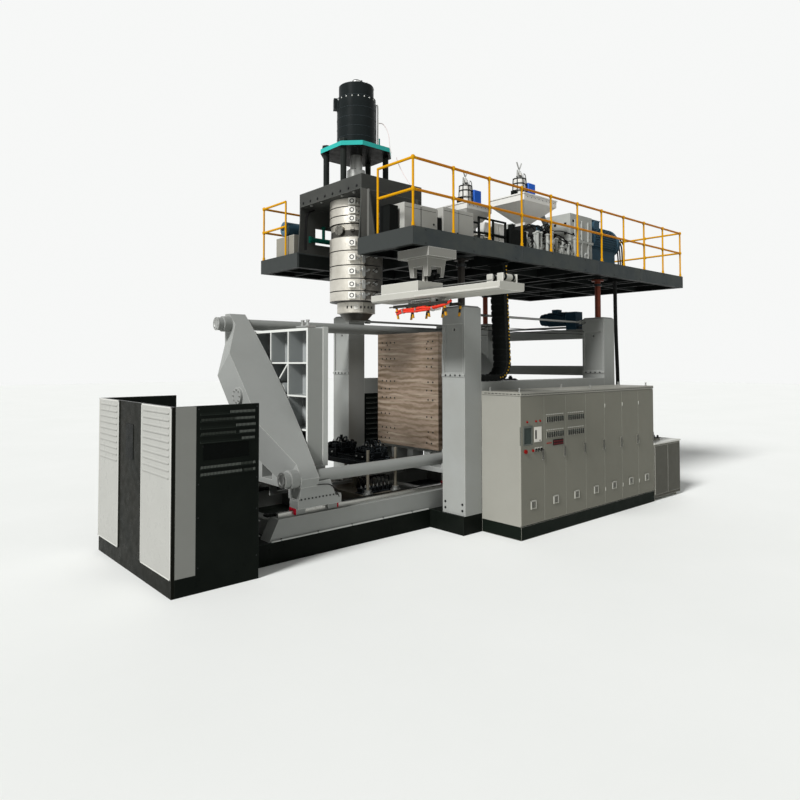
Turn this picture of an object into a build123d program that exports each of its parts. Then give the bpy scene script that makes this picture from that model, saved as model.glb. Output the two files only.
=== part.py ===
"""Accumulator-head extrusion blow moulding machine for large hollow goods.

Frame: X along the clamp stroke, Y from the operator's side to the rear, Z up. The origin is on the
floor, straight below the die. Millimetres.

The clamp is a ring: a diagonal beam at the left, a diagonal beam at the right and two tie bars in
opposite corners. The left platen rides with the ring, and the right platen runs the other way along
the same two rails, pushed by a cylinder in the right beam. A pinion between two racks keeps both in
step. Four columns carry the extruder platform on lifting screws.
"""
import math
import os

from build123d import *

# Clearances
RUN_GAP = 0.3
SHAFT_GAP = 0.1
ROD_GAP = 2.0

# Base frame and bed
BASE_HEIGHT = 300
BASE_HALF_WIDTH = 1150
BASE_LEFT_END = -3750
BASE_WALL = 20
BASE_CELL_PITCH = 1100
BED_TOP = 590
BED_LEFT_END = -2380
BED_RIGHT_END = 4820
BED_END_SLOPE = 150
BED_BEAM_WIDTH = 240
BED_CROSS_WIDTH = 160
RAIL_Y = 1000
RAIL_WIDTH = 60
RAIL_HEIGHT = 60
RAIL_INSET = 90

# Columns and beams of the lifting frame
COLUMN_LEFT_X = 930
COLUMN_RIGHT_X = 5140
COLUMN_NEAR_Y = -1655
COLUMN_FAR_Y = 1430
COLUMN_X_SIZE = 400
COLUMN_Y_SIZE = 500
COLUMN_TOP = 3700
COLUMN_HEAD_HEIGHT = 300
COLUMN_LEDGE_Z = 2540
COLUMN_LEDGE = 18
COLUMN_PANEL_RECESS = 25
COLUMN_FLANGE = 45
SILL_WIDTH = 480
SIDE_BEAM_TOP = 2450
SIDE_BEAM_SIZE = 300
END_BEAM_SIZE = 200
END_BEAM_LOWER_TOP = 2690
END_BEAM_UPPER_TOP = 3470

# Lifting gear
SCREW_RADIUS = 60
SCREW_BORE_RADIUS = 66
SCREW_BOTTOM = 2700
SCREW_NUT_LENGTH = 220
SCREW_FLANGE_RADIUS = 125
SCREW_FLANGE = 30
LIFT_SHAFT_RADIUS = 22
LIFT_SHAFT_X_Z = 3600
LIFT_SHAFT_Y_Z = 3525
LIFT_SHAFT_END = 60
LIFT_SHAFT_INBOARD = 180
LIFT_MOTOR_RADIUS = 140
LIFT_MOTOR_LENGTH = 620
LIFT_MOTOR_Z = 3715
LIFT_GEARBOX_Y = -1080
LIFT_GEARBOX_SIZE = 250

# Clamp ring: beams, tie bars, carriages
HALF_DAYLIGHT = 1200
CLAMP_STROKE = 600
PLATEN_HALF_WIDTH = 820
PLATEN_BOTTOM = 1220
PLATEN_TOP = 3300
PLATEN_DEPTH = 360
PLATEN_SKIN = 90
PLATEN_LIP = 20
PLATEN_HUB_RADIUS = 187
PLATEN_RIM = 40
PLATEN_RIB = 24
PLATEN_COLUMNS = 3
PLATEN_ROWS = 4
PLATEN_BOLT_Y = 550
PLATEN_BOLT_Z = 850
PLATEN_BOLT_HOLE = 15
PLATEN_BOLT_DEPTH = 60
BEAM_STANDOFF = 40
BEAM_ABOVE_BARS = 112
BEAM_BELOW_BARS = 343
BEAM_FLANK_BOW = 95
BEAM_END_DEPTH = 300
BEAM_BELLY_DEPTH = 660
BEAM_BELLY_HALF_LENGTH = 710
BEAM_NUT_CLEARANCE = 15
BEAM_BOTTOM = 985
BEAM_TOP = 3600
BEAM_CENTRE_Z = 2265
BEAM_NEAR_END = 1190
BEAM_FAR_END = 1200
BEAM_FOOT_TOP = 1050
BEAM_FOOT_INSET = 20
BEAM_FOOT_REACH = 225
BEAM_FOOT_BACK_SLOPE = 35
BEAM_FOOT_FRONT_SLOPE = 97
CAP_RADIUS = 125
CAP_THICKNESS = 45
CAP_BOLTS = 8
CAP_BOLT_RADIUS = 12
TIE_BAR_Y = 1040
TIE_BAR_HALF_RISE = 1157
TIE_BAR_RADIUS = 95
TIE_NUT_RADIUS = 130
TIE_NUT_LENGTH = 140
TIE_CAP_RADIUS = 108
TIE_CAP_LENGTH = 90
TIE_CAP_HOLE_RADIUS = 16
TIE_CAP_HOLE_DEPTH = 40
TAIL_FACE_X = 3200
CARRIAGE_LENGTH = 760
CARRIAGE_OVERHANG = 25
CARRIAGE_BEHIND = 335
CARRIAGE_INNER_Y = 930
CARRIAGE_OUTER_Y = 1150
CARRIAGE_PLATE_BOTTOM = 690
CARRIAGE_PLATE_TOP = 800
BLOCK_LENGTH = 160
BLOCK_HALF_WIDTH = 70
BLOCK_INSET = 20
FRAME_WINDOW_WIDTH = 300
FRAME_MARGIN = 80
FRAME_END_GAP = 30
FRAME_LEG = 60
FRAME_LEG_TOP = 980
RING_FRAME_BOTTOM = 925
RING_FRAME_TOP = 1400
GUSSET_INSET = 60
GUSSET_THICKNESS = 40
FRAME_WINDOW_COUNT = 4
CLAMP_BARREL_RADIUS = 150
CLAMP_FLANGE_REACH = 52
CLAMP_BARREL_BACK = 1240
CLAMP_BARREL_FRONT = 250
CLAMP_ROD_RADIUS = 80
CLAMP_ROD_PAD_RADIUS = 170

# Rack and pinion that keep the two halves in step
GEAR_MODULE = 10
PINION_TEETH = 16
GEAR_FACE = 50
GEAR_BACKLASH = 1.2
PINION_Y = 350
GEAR_Z = 630
PINION_PIN_RADIUS = 25
RACK_BACK = 30
RACK_OVERRUN = 110

# Blow pin unit between the platens
BLOW_BASE_TOP = 600
BLOW_HALF_X = 380
BLOW_HALF_Y = 780
BLOW_TABLE_BOTTOM = 1060
BLOW_TABLE_THICKNESS = 80
BLOW_POST_RADIUS = 25
BLOW_POST_X = 300
BLOW_POST_Y = 700
BLOW_POST_TOP = 1330
BLOW_DOWN = 200
BLOW_BARREL_RADIUS = 60
BLOW_ROD_RADIUS = 30
SPREADER_Y = 430
SPREADER_LENGTH = 300
SPREADER_HALF_X = 240
SPREADER_HEIGHT = 110
SPREADER_STROKE = 100
BLOW_PIN_RADIUS = 26
BLOW_PIN_HEIGHT = 330

# Sheet metal guard round the clamp's left end
GUARD_LEFT = -3920
GUARD_NEAR_Y = -1500
GUARD_FAR_Y = 1190
GUARD_WING_END = -2760
GUARD_HEIGHT = 2250
GUARD_PLINTH = 220
GUARD_THICKNESS = 40
GUARD_PANEL_PROUD = 12
GUARD_STRIPE_NEAR = -530
GUARD_STRIPE_FAR = 330
GUARD_WING_STRIPE = 310
LOUVRE_PITCH = 85
LOUVRE_HEIGHT = 26
LOUVRE_PROUD = 12
LOUVRE_ROWS = 10
WING_LOUVRE_ROWS = 5

# Control cabinet, low cabinet and rear guard
CABINET_LEFT = 1140
CABINET_RIGHT = 5410
CABINET_FRONT = -2700
CABINET_BACK = -1905
CABINET_HEIGHT = 2300
CABINET_PLINTH = 210
CABINET_ROOF = 60
CABINET_WALL = 20
DOOR_COUNT = 7
DOOR_THICKNESS = 22
DOOR_GAP = 4
DOOR_HANDLE_Z = 1290
VENT_SIZE = 130
CONTROLLER_ROWS_Z = (1540, 1790)
CONTROLLERS_PER_ROW = 8
CONTROLLER_PITCH = 62
CONTROLLER_WIDTH = 46
CONTROLLER_HEIGHT = 96
VENT_Z = 520
BUTTON_RADIUS = 20
BUTTON_TRAVEL = 4
BUTTON_HEIGHT = 22
STOP_RADIUS = 32
BUTTON_Z = 1370
STOP_X_OFFSET = 110
START_X_OFFSET = 300
LOW_CABINET_RIGHT = 6540
LOW_CABINET_HEIGHT = 1150
LOW_CABINET_FOOT = 60
REAR_GUARD_LENGTH = 1200
REAR_GUARD_THICKNESS = 45
REAR_GUARD_BOTTOM = 340
REAR_LOUVRES = 16

# Extruder platform and its railing
PLATFORM_BOTTOM = 4495
PLATFORM_TOP = 4760
PLATFORM_LEFT = -660
PLATFORM_RIGHT = 7950
PLATFORM_HALF_WIDTH = 2180
PLATFORM_DECK = 30
PLATFORM_EDGE = 60
PLATFORM_RIB = 40
PLATFORM_CELL_PITCH = 1080
NOTCH_HALF_WIDTH = 885
NOTCH_END = 750
RAILING_HEIGHT = 1035
RAILING_MIDDLE = 570
RAILING_RADIUS = 21
RAILING_POST_RADIUS = 18
RAILING_INSET = 40
RAILING_BAYS = 10
RAILING_END_BAYS = 5
RAILING_RETURN = 800

# Head portal, accumulator head and its push-out cylinder
PORTAL_LEFT = -600
PORTAL_RIGHT = 740
PORTAL_HALF_WIDTH = 900
PORTAL_BOTTOM = 5580
PORTAL_TOP = 5820
PORTAL_BAR = 200
PORTAL_RIGHT_BAR = 340
PORTAL_PLATE = 30
PORTAL_HOLE_RADIUS = 190
WALL_THICKNESS = 24
WALL_SLOPE = 230
HEAD_RADIUS = 465
HEAD_JOINTS = (3820, 3990, 4200, 4430, 4680, 4920, 5140, 5280, 5430)
HEAD_NARROW_RING = 5
HEAD_NARROWING = 22
HEAD_GROOVE = 16
HEAD_GROOVE_DEPTH = 20
HEAD_BORE_RADIUS = 170
HEAD_BORE_BOTTOM = 4900
LOWER_RING_RADIUS = 335
LOWER_RING_BOTTOM = 3630
DIE_RADIUS = 190
DIE_BOTTOM = 3500
DIE_GAP = 6
DIE_GAP_DEPTH = 60
DIE_SLIT_RADIUS = 120
TERMINAL_SIZE = 60
TERMINAL_ANGLES = (224, 266)
SEAM_ANGLE = 247
FLANGE_BOTTOM = 6430
FLANGE_THICKNESS = 80
FLANGE_HALF_SIZE = 560
FLANGE_CLIP = 260
STAY_RADIUS = 52
STAY_X = 470
STAY_Y = 250
STAY_NUT_RADIUS = 80
STAY_NUT_HEIGHT = 60
PUSH_BARREL_RADIUS = 342
PUSH_BARREL_STEP = 7420
PUSH_CAP_RADIUS = 310
PUSH_CAP_TOP = 7650
PUSH_STUB_RADIUS = 70
PUSH_STUB_TOP = 7790
RAM_RADIUS = 110
RAM_COUPLING_RADIUS = 165
RAM_COUPLING_BOTTOM = 6020
RAM_COUPLING_HEIGHT = 140
RAM_BOTTOM = 5300
RAM_TOP = 6900

# Extruders: the middle one runs straight into the head, the side one through a melt pipe
SCREW_AXIS_Z = 5030
BARREL_RADIUS = 95
BAND_RADIUS = 130
BAND_LENGTH = 230
BAND_PITCH = 270
PORT_RADIUS = 120
PORT_FACE = 520
SIDE_EXTRUDER_Y = -1050
SIDE_BARREL_START = 1900
SIDE_GEARBOX_X = 4550
SIDE_GEARBOX_LENGTH = 820
SIDE_GEARBOX_HALF_WIDTH = 340
SIDE_GEARBOX_TOP = 5880
MAIN_GEARBOX_X = 4000
MAIN_GEARBOX_LENGTH = 760
MAIN_GEARBOX_HALF_WIDTH = 300
MAIN_GEARBOX_TOP = 5760
FEED_SIZE = 360
FEED_TOP = 5470
SIDE_HOPPER_X = 3420
MAIN_HOPPER_X = 2950
SIDE_HOPPER_SIZE = 1050
MAIN_HOPPER_SIZE = 760
HOPPER_NECK = 220
HOPPER_CONE = 330
HOPPER_RIM = 140
LOADER_RADIUS = 120
LOADER_HEIGHT = 420
SIDE_MOTOR_RADIUS = 310
MAIN_MOTOR_RADIUS = 270
MOTOR_LENGTH = 1150
MOTOR_AXIS_Z = 5480

# Cabinets on the platform
BOX_NEAR_Y = -1600
BOX_DEPTH = 330
BOX_SMALL_X = (-300, 70)
BOX_SMALL_LENGTH = 350
BOX_SMALL_HEIGHT = 510
BOX_LARGE_X = 560
BOX_LARGE_LENGTH = 740
BOX_LARGE_HEIGHT = 570
PUMP_BOX_X = -560
PUMP_BOX_Y = 1150
PUMP_BOX_LENGTH = 420
PUMP_BOX_DEPTH = 620
PUMP_BOX_HEIGHT = 380
PUMP_MOTOR_RADIUS = 130

# Take-out robot under the platform's near left corner
ROBOT_X = -190
ROBOT_PLATE_LEFT = -350
ROBOT_PLATE_RIGHT = 250
ROBOT_PLATE_NEAR = -2180
ROBOT_PLATE_FAR = -1500
ROBOT_PLATE_THICKNESS = 135
ROBOT_BOX_X = 170
ROBOT_BOX_Y = 190
ROBOT_BOX_FLARE = 30
ROBOT_ARCH_SIDE = 110
ROBOT_ARCH_RISE = 150
ROBOT_BOX_BOTTOM = 4080
ROBOT_ROD_RADIUS = 22
ROBOT_ROD_PITCH = 70
ROBOT_HOUSING_TOP = 3985
ROBOT_HOUSING_NEAR = -2060
ROBOT_LIP = 18
ROBOT_HOUSING_FAR = -1220
ROBOT_BEAM_TOP = 3835
ROBOT_BEAM_BOTTOM = 3725
ROBOT_BEAM_HALF_X = 260
ROBOT_BEAM_NEAR = -3600
ROBOT_BEAM_FAR = -970
GRIPPER_Y = -2000
GRIPPER_LENGTH = 560
GRIPPER_HALF_X = 120
GRIPPER_EAR_HALF_X = 125
JAW_BAR_OFFSET = 85
GRIPPER_TOP_GAP = 0.3
GRIPPER_HEIGHT = 110
JAW_SHAFT_RADIUS = 14
JAW_SHAFT_X = 90
JAW_LENGTH = 1150
FINGER_LENGTH = 190
FINGER_COUNT = 4

# Energy chain and service hose from the ground to the platform
CHAIN_X = 1800
CHAIN_LEAN = 110
CHAIN_Y = -1725
CHAIN_WIDTH = 310
CHAIN_BAR_SHARE = 0.84
CHAIN_PITCH = 110
CHAIN_HEIGHT = 110
CHAIN_PLATE = 14
CHAIN_BEND_RADIUS = 260
CHAIN_BRACKET = 30
CHAIN_LAP = 4
HOSE_RADIUS = 38
HOSE_X = 5640
HOSE_Y = -1800
HOSE_ENTRY_Z = 850

# Heights and places that follow from the sizes above
PLATEN_BACK = HALF_DAYLIGHT + PLATEN_DEPTH
BEAM_FACE_X = -(PLATEN_BACK + BEAM_STANDOFF)
RING_SLOPE = math.atan2(TIE_BAR_HALF_RISE, TIE_BAR_Y)
BEAM_TAPER_END = math.hypot(TIE_BAR_Y, TIE_BAR_HALF_RISE) - TIE_NUT_RADIUS - BEAM_NUT_CLEARANCE
RAIL_TOP = BED_TOP + RAIL_HEIGHT
PITCH_RADIUS = GEAR_MODULE * PINION_TEETH / 2
FLANGE_TOP = FLANGE_BOTTOM + FLANGE_THICKNESS
BLOW_TABLE_TOP = BLOW_TABLE_BOTTOM + BLOW_TABLE_THICKNESS
DOOR_WIDTH = (CABINET_RIGHT - CABINET_LEFT) / DOOR_COUNT
COLUMN_X = {"left": COLUMN_LEFT_X, "right": COLUMN_RIGHT_X}
COLUMN_Y = {"near": COLUMN_NEAR_Y, "far": COLUMN_FAR_Y}

UP = (Align.CENTER, Align.CENTER, Align.MIN)


def block(x0, x1, y0, y1, z0, z1):
    """Rectangular block between two opposite corners."""
    size = Box(abs(x1 - x0), abs(y1 - y0), abs(z1 - z0))
    return Pos((x0 + x1) / 2, (y0 + y1) / 2, (z0 + z1) / 2) * size


def rod_x(x0, x1, y, z, radius):
    """Round bar along X."""
    return Pos(min(x0, x1), y, z) * Rot(0, 90, 0) * Cylinder(radius, abs(x1 - x0), align=UP)


def rod_y(y0, y1, x, z, radius):
    """Round bar along Y."""
    return Pos(x, min(y0, y1), z) * Rot(-90, 0, 0) * Cylinder(radius, abs(y1 - y0), align=UP)


def rod_z(z0, z1, x, y, radius):
    """Round bar along Z."""
    return Pos(x, y, min(z0, z1)) * Cylinder(radius, abs(z1 - z0), align=UP)


def prism_y(points, y0, y1):
    """Outline in X and Z, drawn out along Y."""
    face = make_face(Polyline([(x, 0, z) for x, z in points], close=True))
    return Pos(0, y0, 0) * extrude(face, amount=y1 - y0, dir=(0, 1, 0))


def prism_x(points, x0, x1):
    """Outline in Y and Z, drawn out along X."""
    face = make_face(Polyline([(0, y, z) for y, z in points], close=True))
    return Pos(x0, 0, 0) * extrude(face, amount=x1 - x0, dir=(1, 0, 0))


def prism_z(points, z0, z1):
    """Outline in X and Y, drawn up along Z."""
    face = make_face(Polyline([(x, y, 0) for x, y in points], close=True))
    return Pos(0, 0, z0) * extrude(face, amount=z1 - z0, dir=(0, 0, 1))


def joined(*shapes):
    """One solid out of pieces that are welded or cast together."""
    body = shapes[0]
    for shape in shapes[1:]:
        body = body + shape
    return body


def spread(start, end, pitch):
    """Edges of equal cells between two ends, none wider than the pitch."""
    count = math.ceil((end - start) / pitch)
    return [start + (end - start) * i / count for i in range(count + 1)]


def cells(x0, x1, y0, y1, z0, z1, wall, rib, pitch):
    """Pockets of a ribbed weldment, to be cut from below."""
    pockets = []
    xs = spread(x0 + wall, x1 - wall, pitch)
    ys = spread(y0 + wall, y1 - wall, pitch)
    for left, right in zip(xs, xs[1:]):
        for near, far in zip(ys, ys[1:]):
            ends = (left + (rib / 2 if left > xs[0] else 0), right - (rib / 2 if right < xs[-1] else 0))
            sides = (near + (rib / 2 if near > ys[0] else 0), far - (rib / 2 if far < ys[-1] else 0))
            pockets.append(block(*ends, *sides, z0, z1))
    return pockets


# Base frame and bed

def base_section(x0, x1):
    """Welded base box with a deck plate on top and ribs below it."""
    body = block(x0, x1, -BASE_HALF_WIDTH, BASE_HALF_WIDTH, 0, BASE_HEIGHT)
    return body - cells(x0, x1, -BASE_HALF_WIDTH, BASE_HALF_WIDTH, -1, BASE_HEIGHT - BASE_WALL,
                        BASE_WALL, BASE_WALL, BASE_CELL_PITCH)


def cross_sill(x):
    """Box beam under a near and a far column, let in between two base sections."""
    near = COLUMN_NEAR_Y - COLUMN_Y_SIZE / 2
    far = COLUMN_FAR_Y + COLUMN_Y_SIZE / 2
    return block(x - SILL_WIDTH / 2, x + SILL_WIDTH / 2, near, far, 0, BASE_HEIGHT)


def base_frame():
    """Two base sections, one at the clamp's open end and one between the sills."""
    half = SILL_WIDTH / 2
    return [base_section(BASE_LEFT_END, COLUMN_LEFT_X - half),
            base_section(COLUMN_LEFT_X + half, COLUMN_RIGHT_X - half)]


def bed_frame():
    """Ladder bed: two long beams with raked ends, joined by cross members."""
    rake = BED_END_SLOPE
    side = [(BED_LEFT_END, BASE_HEIGHT), (BED_RIGHT_END, BASE_HEIGHT),
            (BED_RIGHT_END - rake, BED_TOP), (BED_LEFT_END + rake, BED_TOP)]
    half = BED_BEAM_WIDTH / 2
    near = prism_y(side, -RAIL_Y - half, -RAIL_Y + half)
    far = prism_y(side, RAIL_Y - half, RAIL_Y + half)
    body = near + far
    inner = RAIL_Y - half
    stations = [BED_LEFT_END + rake, -PLATEN_BACK + CLAMP_STROKE, PLATEN_BACK - CLAMP_STROKE,
                TAIL_FACE_X - CLAMP_STROKE, BED_RIGHT_END - rake - BED_CROSS_WIDTH]
    for x in stations:
        body = body + block(x, x + BED_CROSS_WIDTH, -inner, inner, BASE_HEIGHT, BED_TOP - 60)
    return body


def guide_rails():
    """Two linear guide rails, one on each bed beam."""
    inset = BED_END_SLOPE + RAIL_INSET / 2
    half = RAIL_WIDTH / 2
    return [block(BED_LEFT_END + inset, BED_RIGHT_END - inset, y - half, y + half, BED_TOP, RAIL_TOP)
            for y in (-RAIL_Y, RAIL_Y)]


# Lifting frame

def lift_shaft_y(column_y):
    """Line of the long drive shaft beside a pair of columns, inboard of their screws."""
    return column_y - math.copysign(LIFT_SHAFT_INBOARD, column_y)


def column(x, y, side_face):
    """Box column with a guide panel let into its left face, a ledge and a bevelled head."""
    half_x = COLUMN_X_SIZE / 2
    half_y = COLUMN_Y_SIZE / 2
    body = block(x - half_x, x + half_x, y - half_y, y + half_y, BASE_HEIGHT, COLUMN_TOP)
    body = chamfer(body.edges().group_by(Axis.Z)[-1], 35)
    panel_top = COLUMN_TOP - COLUMN_HEAD_HEIGHT
    body -= block(x - half_x, x - half_x + COLUMN_PANEL_RECESS, y - half_y + COLUMN_FLANGE,
                  y + half_y - COLUMN_FLANGE, COLUMN_LEDGE_Z + 60, panel_top)
    body += block(x - half_x - COLUMN_LEDGE, x - half_x, y - half_y, y + half_y,
                  COLUMN_LEDGE_Z, COLUMN_LEDGE_Z + 40)
    nut_bottom = COLUMN_TOP - SCREW_NUT_LENGTH
    body -= rod_z(SCREW_BOTTOM - 100, nut_bottom, x, y, SCREW_BORE_RADIUS)
    body -= rod_z(nut_bottom - 1, COLUMN_TOP + 1, x, y, SCREW_RADIUS + SHAFT_GAP)
    body -= rod_x(x - half_x, x - half_x + 90, y, panel_top - 90, 24)
    inner = LIFT_SHAFT_END + 5
    shaft_radius = LIFT_SHAFT_RADIUS + SHAFT_GAP
    shaft_y = lift_shaft_y(y)
    if side_face == "left":
        body -= rod_x(x + half_x - inner, x + half_x + 1, shaft_y, LIFT_SHAFT_X_Z, shaft_radius)
    else:
        body -= rod_x(x - half_x - 1, x - half_x + inner, shaft_y, LIFT_SHAFT_X_Z, shaft_radius)
        toward = half_y if y < 0 else -half_y
        body -= rod_y(y + toward - math.copysign(inner, toward), y + toward + math.copysign(1, toward),
                      x, LIFT_SHAFT_Y_Z, shaft_radius)
    return body


def side_beams():
    """Long beams between the left and right columns, flush with the columns' outer faces."""
    left = COLUMN_LEFT_X + COLUMN_X_SIZE / 2
    right = COLUMN_RIGHT_X - COLUMN_X_SIZE / 2
    near = COLUMN_NEAR_Y - COLUMN_Y_SIZE / 2
    far = COLUMN_FAR_Y - COLUMN_Y_SIZE / 2
    bottom = SIDE_BEAM_TOP - SIDE_BEAM_SIZE
    return [block(left, right, near, near + SIDE_BEAM_SIZE, bottom, SIDE_BEAM_TOP),
            block(left, right, far, far + SIDE_BEAM_SIZE, bottom, SIDE_BEAM_TOP)]


def end_beams():
    """Two beams across the right end, between the near and far columns."""
    near = COLUMN_NEAR_Y + COLUMN_Y_SIZE / 2
    far = COLUMN_FAR_Y - COLUMN_Y_SIZE / 2
    half = END_BEAM_SIZE / 2
    return [block(COLUMN_RIGHT_X - half, COLUMN_RIGHT_X + half, near, far, top - END_BEAM_SIZE, top)
            for top in (END_BEAM_LOWER_TOP, END_BEAM_UPPER_TOP)]


def lift_motor():
    """Geared lift motor on the upper end beam, with the end shaft running through its gearbox."""
    half = LIFT_GEARBOX_SIZE / 2
    x = COLUMN_RIGHT_X
    top = LIFT_MOTOR_Z + LIFT_MOTOR_RADIUS
    body = block(x - half, x + half, LIFT_GEARBOX_Y - half, LIFT_GEARBOX_Y + half,
                 END_BEAM_UPPER_TOP, top)
    start = LIFT_GEARBOX_Y + half
    body += rod_y(start, start + LIFT_MOTOR_LENGTH, x, LIFT_MOTOR_Z, LIFT_MOTOR_RADIUS)
    body += rod_y(start + LIFT_MOTOR_LENGTH, start + LIFT_MOTOR_LENGTH + 70, x, LIFT_MOTOR_Z,
                  LIFT_MOTOR_RADIUS - 14)
    body += block(x + LIFT_MOTOR_RADIUS - 30, x + LIFT_MOTOR_RADIUS + 50, start + 180, start + 340,
                  LIFT_MOTOR_Z - 70, LIFT_MOTOR_Z + 70)
    body -= rod_y(LIFT_GEARBOX_Y - half - 1, LIFT_GEARBOX_Y + half + 1, x, LIFT_SHAFT_Y_Z,
                  LIFT_SHAFT_RADIUS + SHAFT_GAP)
    return body


def lift_shaft_x(column_y):
    """Long drive shaft from a left column's head to a right column's head, with two couplings."""
    y = lift_shaft_y(column_y)
    left = COLUMN_LEFT_X + COLUMN_X_SIZE / 2
    right = COLUMN_RIGHT_X - COLUMN_X_SIZE / 2
    body = rod_x(left - LIFT_SHAFT_END, right + LIFT_SHAFT_END, y, LIFT_SHAFT_X_Z, LIFT_SHAFT_RADIUS)
    for x in (left + 90, right - 190):
        body += rod_x(x, x + 100, y, LIFT_SHAFT_X_Z, LIFT_SHAFT_RADIUS * 1.9)
    return body


def lift_shaft_end():
    """Drive shaft through the lift motor's gearbox, from the near to the far right column."""
    near = COLUMN_NEAR_Y + COLUMN_Y_SIZE / 2
    far = COLUMN_FAR_Y - COLUMN_Y_SIZE / 2
    return rod_y(near - LIFT_SHAFT_END, far + LIFT_SHAFT_END, COLUMN_RIGHT_X, LIFT_SHAFT_Y_Z,
                 LIFT_SHAFT_RADIUS)


def lift_screws():
    """Four lifting screws, bolted under the platform by a round flange, standing in the columns."""
    screws = []
    for x in COLUMN_X.values():
        for y in COLUMN_Y.values():
            screw = rod_z(SCREW_BOTTOM, PLATFORM_BOTTOM, x, y, SCREW_RADIUS)
            screw += rod_z(PLATFORM_BOTTOM - SCREW_FLANGE, PLATFORM_BOTTOM, x, y, SCREW_FLANGE_RADIUS)
            screws.append(screw)
    return screws


# Clamp ring

def beam_inner_corner():
    """Y of the corner where the beam's lower side meets its cut bottom."""
    below = BEAM_BELOW_BARS / math.cos(RING_SLOPE)
    return (BEAM_BOTTOM - BEAM_CENTRE_Z + below) / math.tan(RING_SLOPE)


def beam_outline():
    """Outline, in Y and Z, of a beam that leans from the near bottom to the far top.

    Its upper flank runs beside the line through the tie bars and is bowed; the other sides are straight.
    """
    rise = math.tan(RING_SLOPE)
    above = BEAM_ABOVE_BARS / math.cos(RING_SLOPE)
    below = BEAM_BELOW_BARS / math.cos(RING_SLOPE)
    low = (-BEAM_NEAR_END, BEAM_CENTRE_Z - BEAM_NEAR_END * rise + above)
    high = ((BEAM_TOP - BEAM_CENTRE_Z - above) / rise, BEAM_TOP)
    crown = ((low[0] + high[0]) / 2 - BEAM_FLANK_BOW * math.sin(RING_SLOPE),
             (low[1] + high[1]) / 2 + BEAM_FLANK_BOW * math.cos(RING_SLOPE))
    flank = ThreePointArc(low, crown, high)
    others = Polyline(high, (BEAM_FAR_END, BEAM_TOP),
                      (BEAM_FAR_END, BEAM_CENTRE_Z + BEAM_FAR_END * rise - below),
                      (beam_inner_corner(), BEAM_BOTTOM), (-CARRIAGE_OUTER_Y, BEAM_BOTTOM), low)
    return make_face(flank.edges() + others.edges())


def tie_bar_spaces(x0, x1):
    """The room that both tie bars take between two places along X."""
    return [rod_x(x0, x1, side * TIE_BAR_Y, BEAM_CENTRE_Z + side * TIE_BAR_HALF_RISE, TIE_BAR_RADIUS)
            for side in (-1, 1)]


def diagonal_beam(face_x, outward):
    """Fish-bellied clamp beam with a flat face towards the mould and a bore at each tie bar."""
    end = face_x + outward * BEAM_END_DEPTH
    belly = face_x + outward * BEAM_BELLY_DEPTH
    left = min(face_x, belly)
    body = extrude(Plane.YZ.offset(left) * beam_outline(), amount=BEAM_BELLY_DEPTH)
    length = BEAM_TOP - BEAM_BOTTOM
    profile = [(face_x, -length), (end, -length), (end, -BEAM_TAPER_END),
               (belly, -BEAM_BELLY_HALF_LENGTH), (belly, BEAM_BELLY_HALF_LENGTH),
               (end, BEAM_TAPER_END), (end, length), (face_x, length)]
    across = (0, -math.sin(RING_SLOPE), math.cos(RING_SLOPE))
    plane = Plane(origin=(0, 0, BEAM_CENTRE_Z), x_dir=(1, 0, 0), z_dir=across)
    section = extrude(plane * make_face(Polyline(profile, close=True)), amount=length, both=True)
    body = body & section
    for space in tie_bar_spaces(left - 1, left + BEAM_BELLY_DEPTH + 1):
        body -= space
    return body


def clamp_beam():
    """Left beam with its bolted centre cap and the boss that carries the left platen."""
    body = diagonal_beam(BEAM_FACE_X, -1)
    belly = BEAM_FACE_X - BEAM_BELLY_DEPTH
    body += rod_x(belly - CAP_THICKNESS, belly + 1, 0, BEAM_CENTRE_Z, CAP_RADIUS)
    for i in range(CAP_BOLTS):
        angle = math.tau * i / CAP_BOLTS
        body += rod_x(belly - CAP_THICKNESS - 14, belly - CAP_THICKNESS + 1,
                      0.78 * CAP_RADIUS * math.cos(angle),
                      BEAM_CENTRE_Z + 0.78 * CAP_RADIUS * math.sin(angle), CAP_BOLT_RADIUS)
    body += rod_x(BEAM_FACE_X - 1, -PLATEN_BACK, 0, BEAM_CENTRE_Z, CAP_RADIUS * 1.5)
    return body


def tie_bars():
    """Two tie bars, each with a round nut and an end cap outside either beam."""
    bars = []
    left_seat = BEAM_FACE_X - BEAM_END_DEPTH
    right_seat = TAIL_FACE_X + BEAM_END_DEPTH
    reach = TIE_NUT_LENGTH + TIE_CAP_LENGTH
    for side in (-1, 1):
        y = side * TIE_BAR_Y
        z = BEAM_CENTRE_Z + side * TIE_BAR_HALF_RISE
        bar = rod_x(left_seat, right_seat, y, z, TIE_BAR_RADIUS)
        bar += rod_x(left_seat - TIE_NUT_LENGTH, left_seat, y, z, TIE_NUT_RADIUS)
        bar += rod_x(left_seat - reach, left_seat - TIE_NUT_LENGTH, y, z, TIE_CAP_RADIUS)
        bar += rod_x(right_seat, right_seat + TIE_NUT_LENGTH, y, z, TIE_NUT_RADIUS)
        bar += rod_x(right_seat + TIE_NUT_LENGTH, right_seat + reach, y, z, TIE_CAP_RADIUS)
        for x0, x1 in ((left_seat - reach - 1, left_seat - reach + TIE_CAP_HOLE_DEPTH),
                       (right_seat + reach - TIE_CAP_HOLE_DEPTH, right_seat + reach + 1)):
            bar -= rod_x(x0, x1, y, z, TIE_CAP_HOLE_RADIUS)
        bars.append(bar)
    return bars


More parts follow.
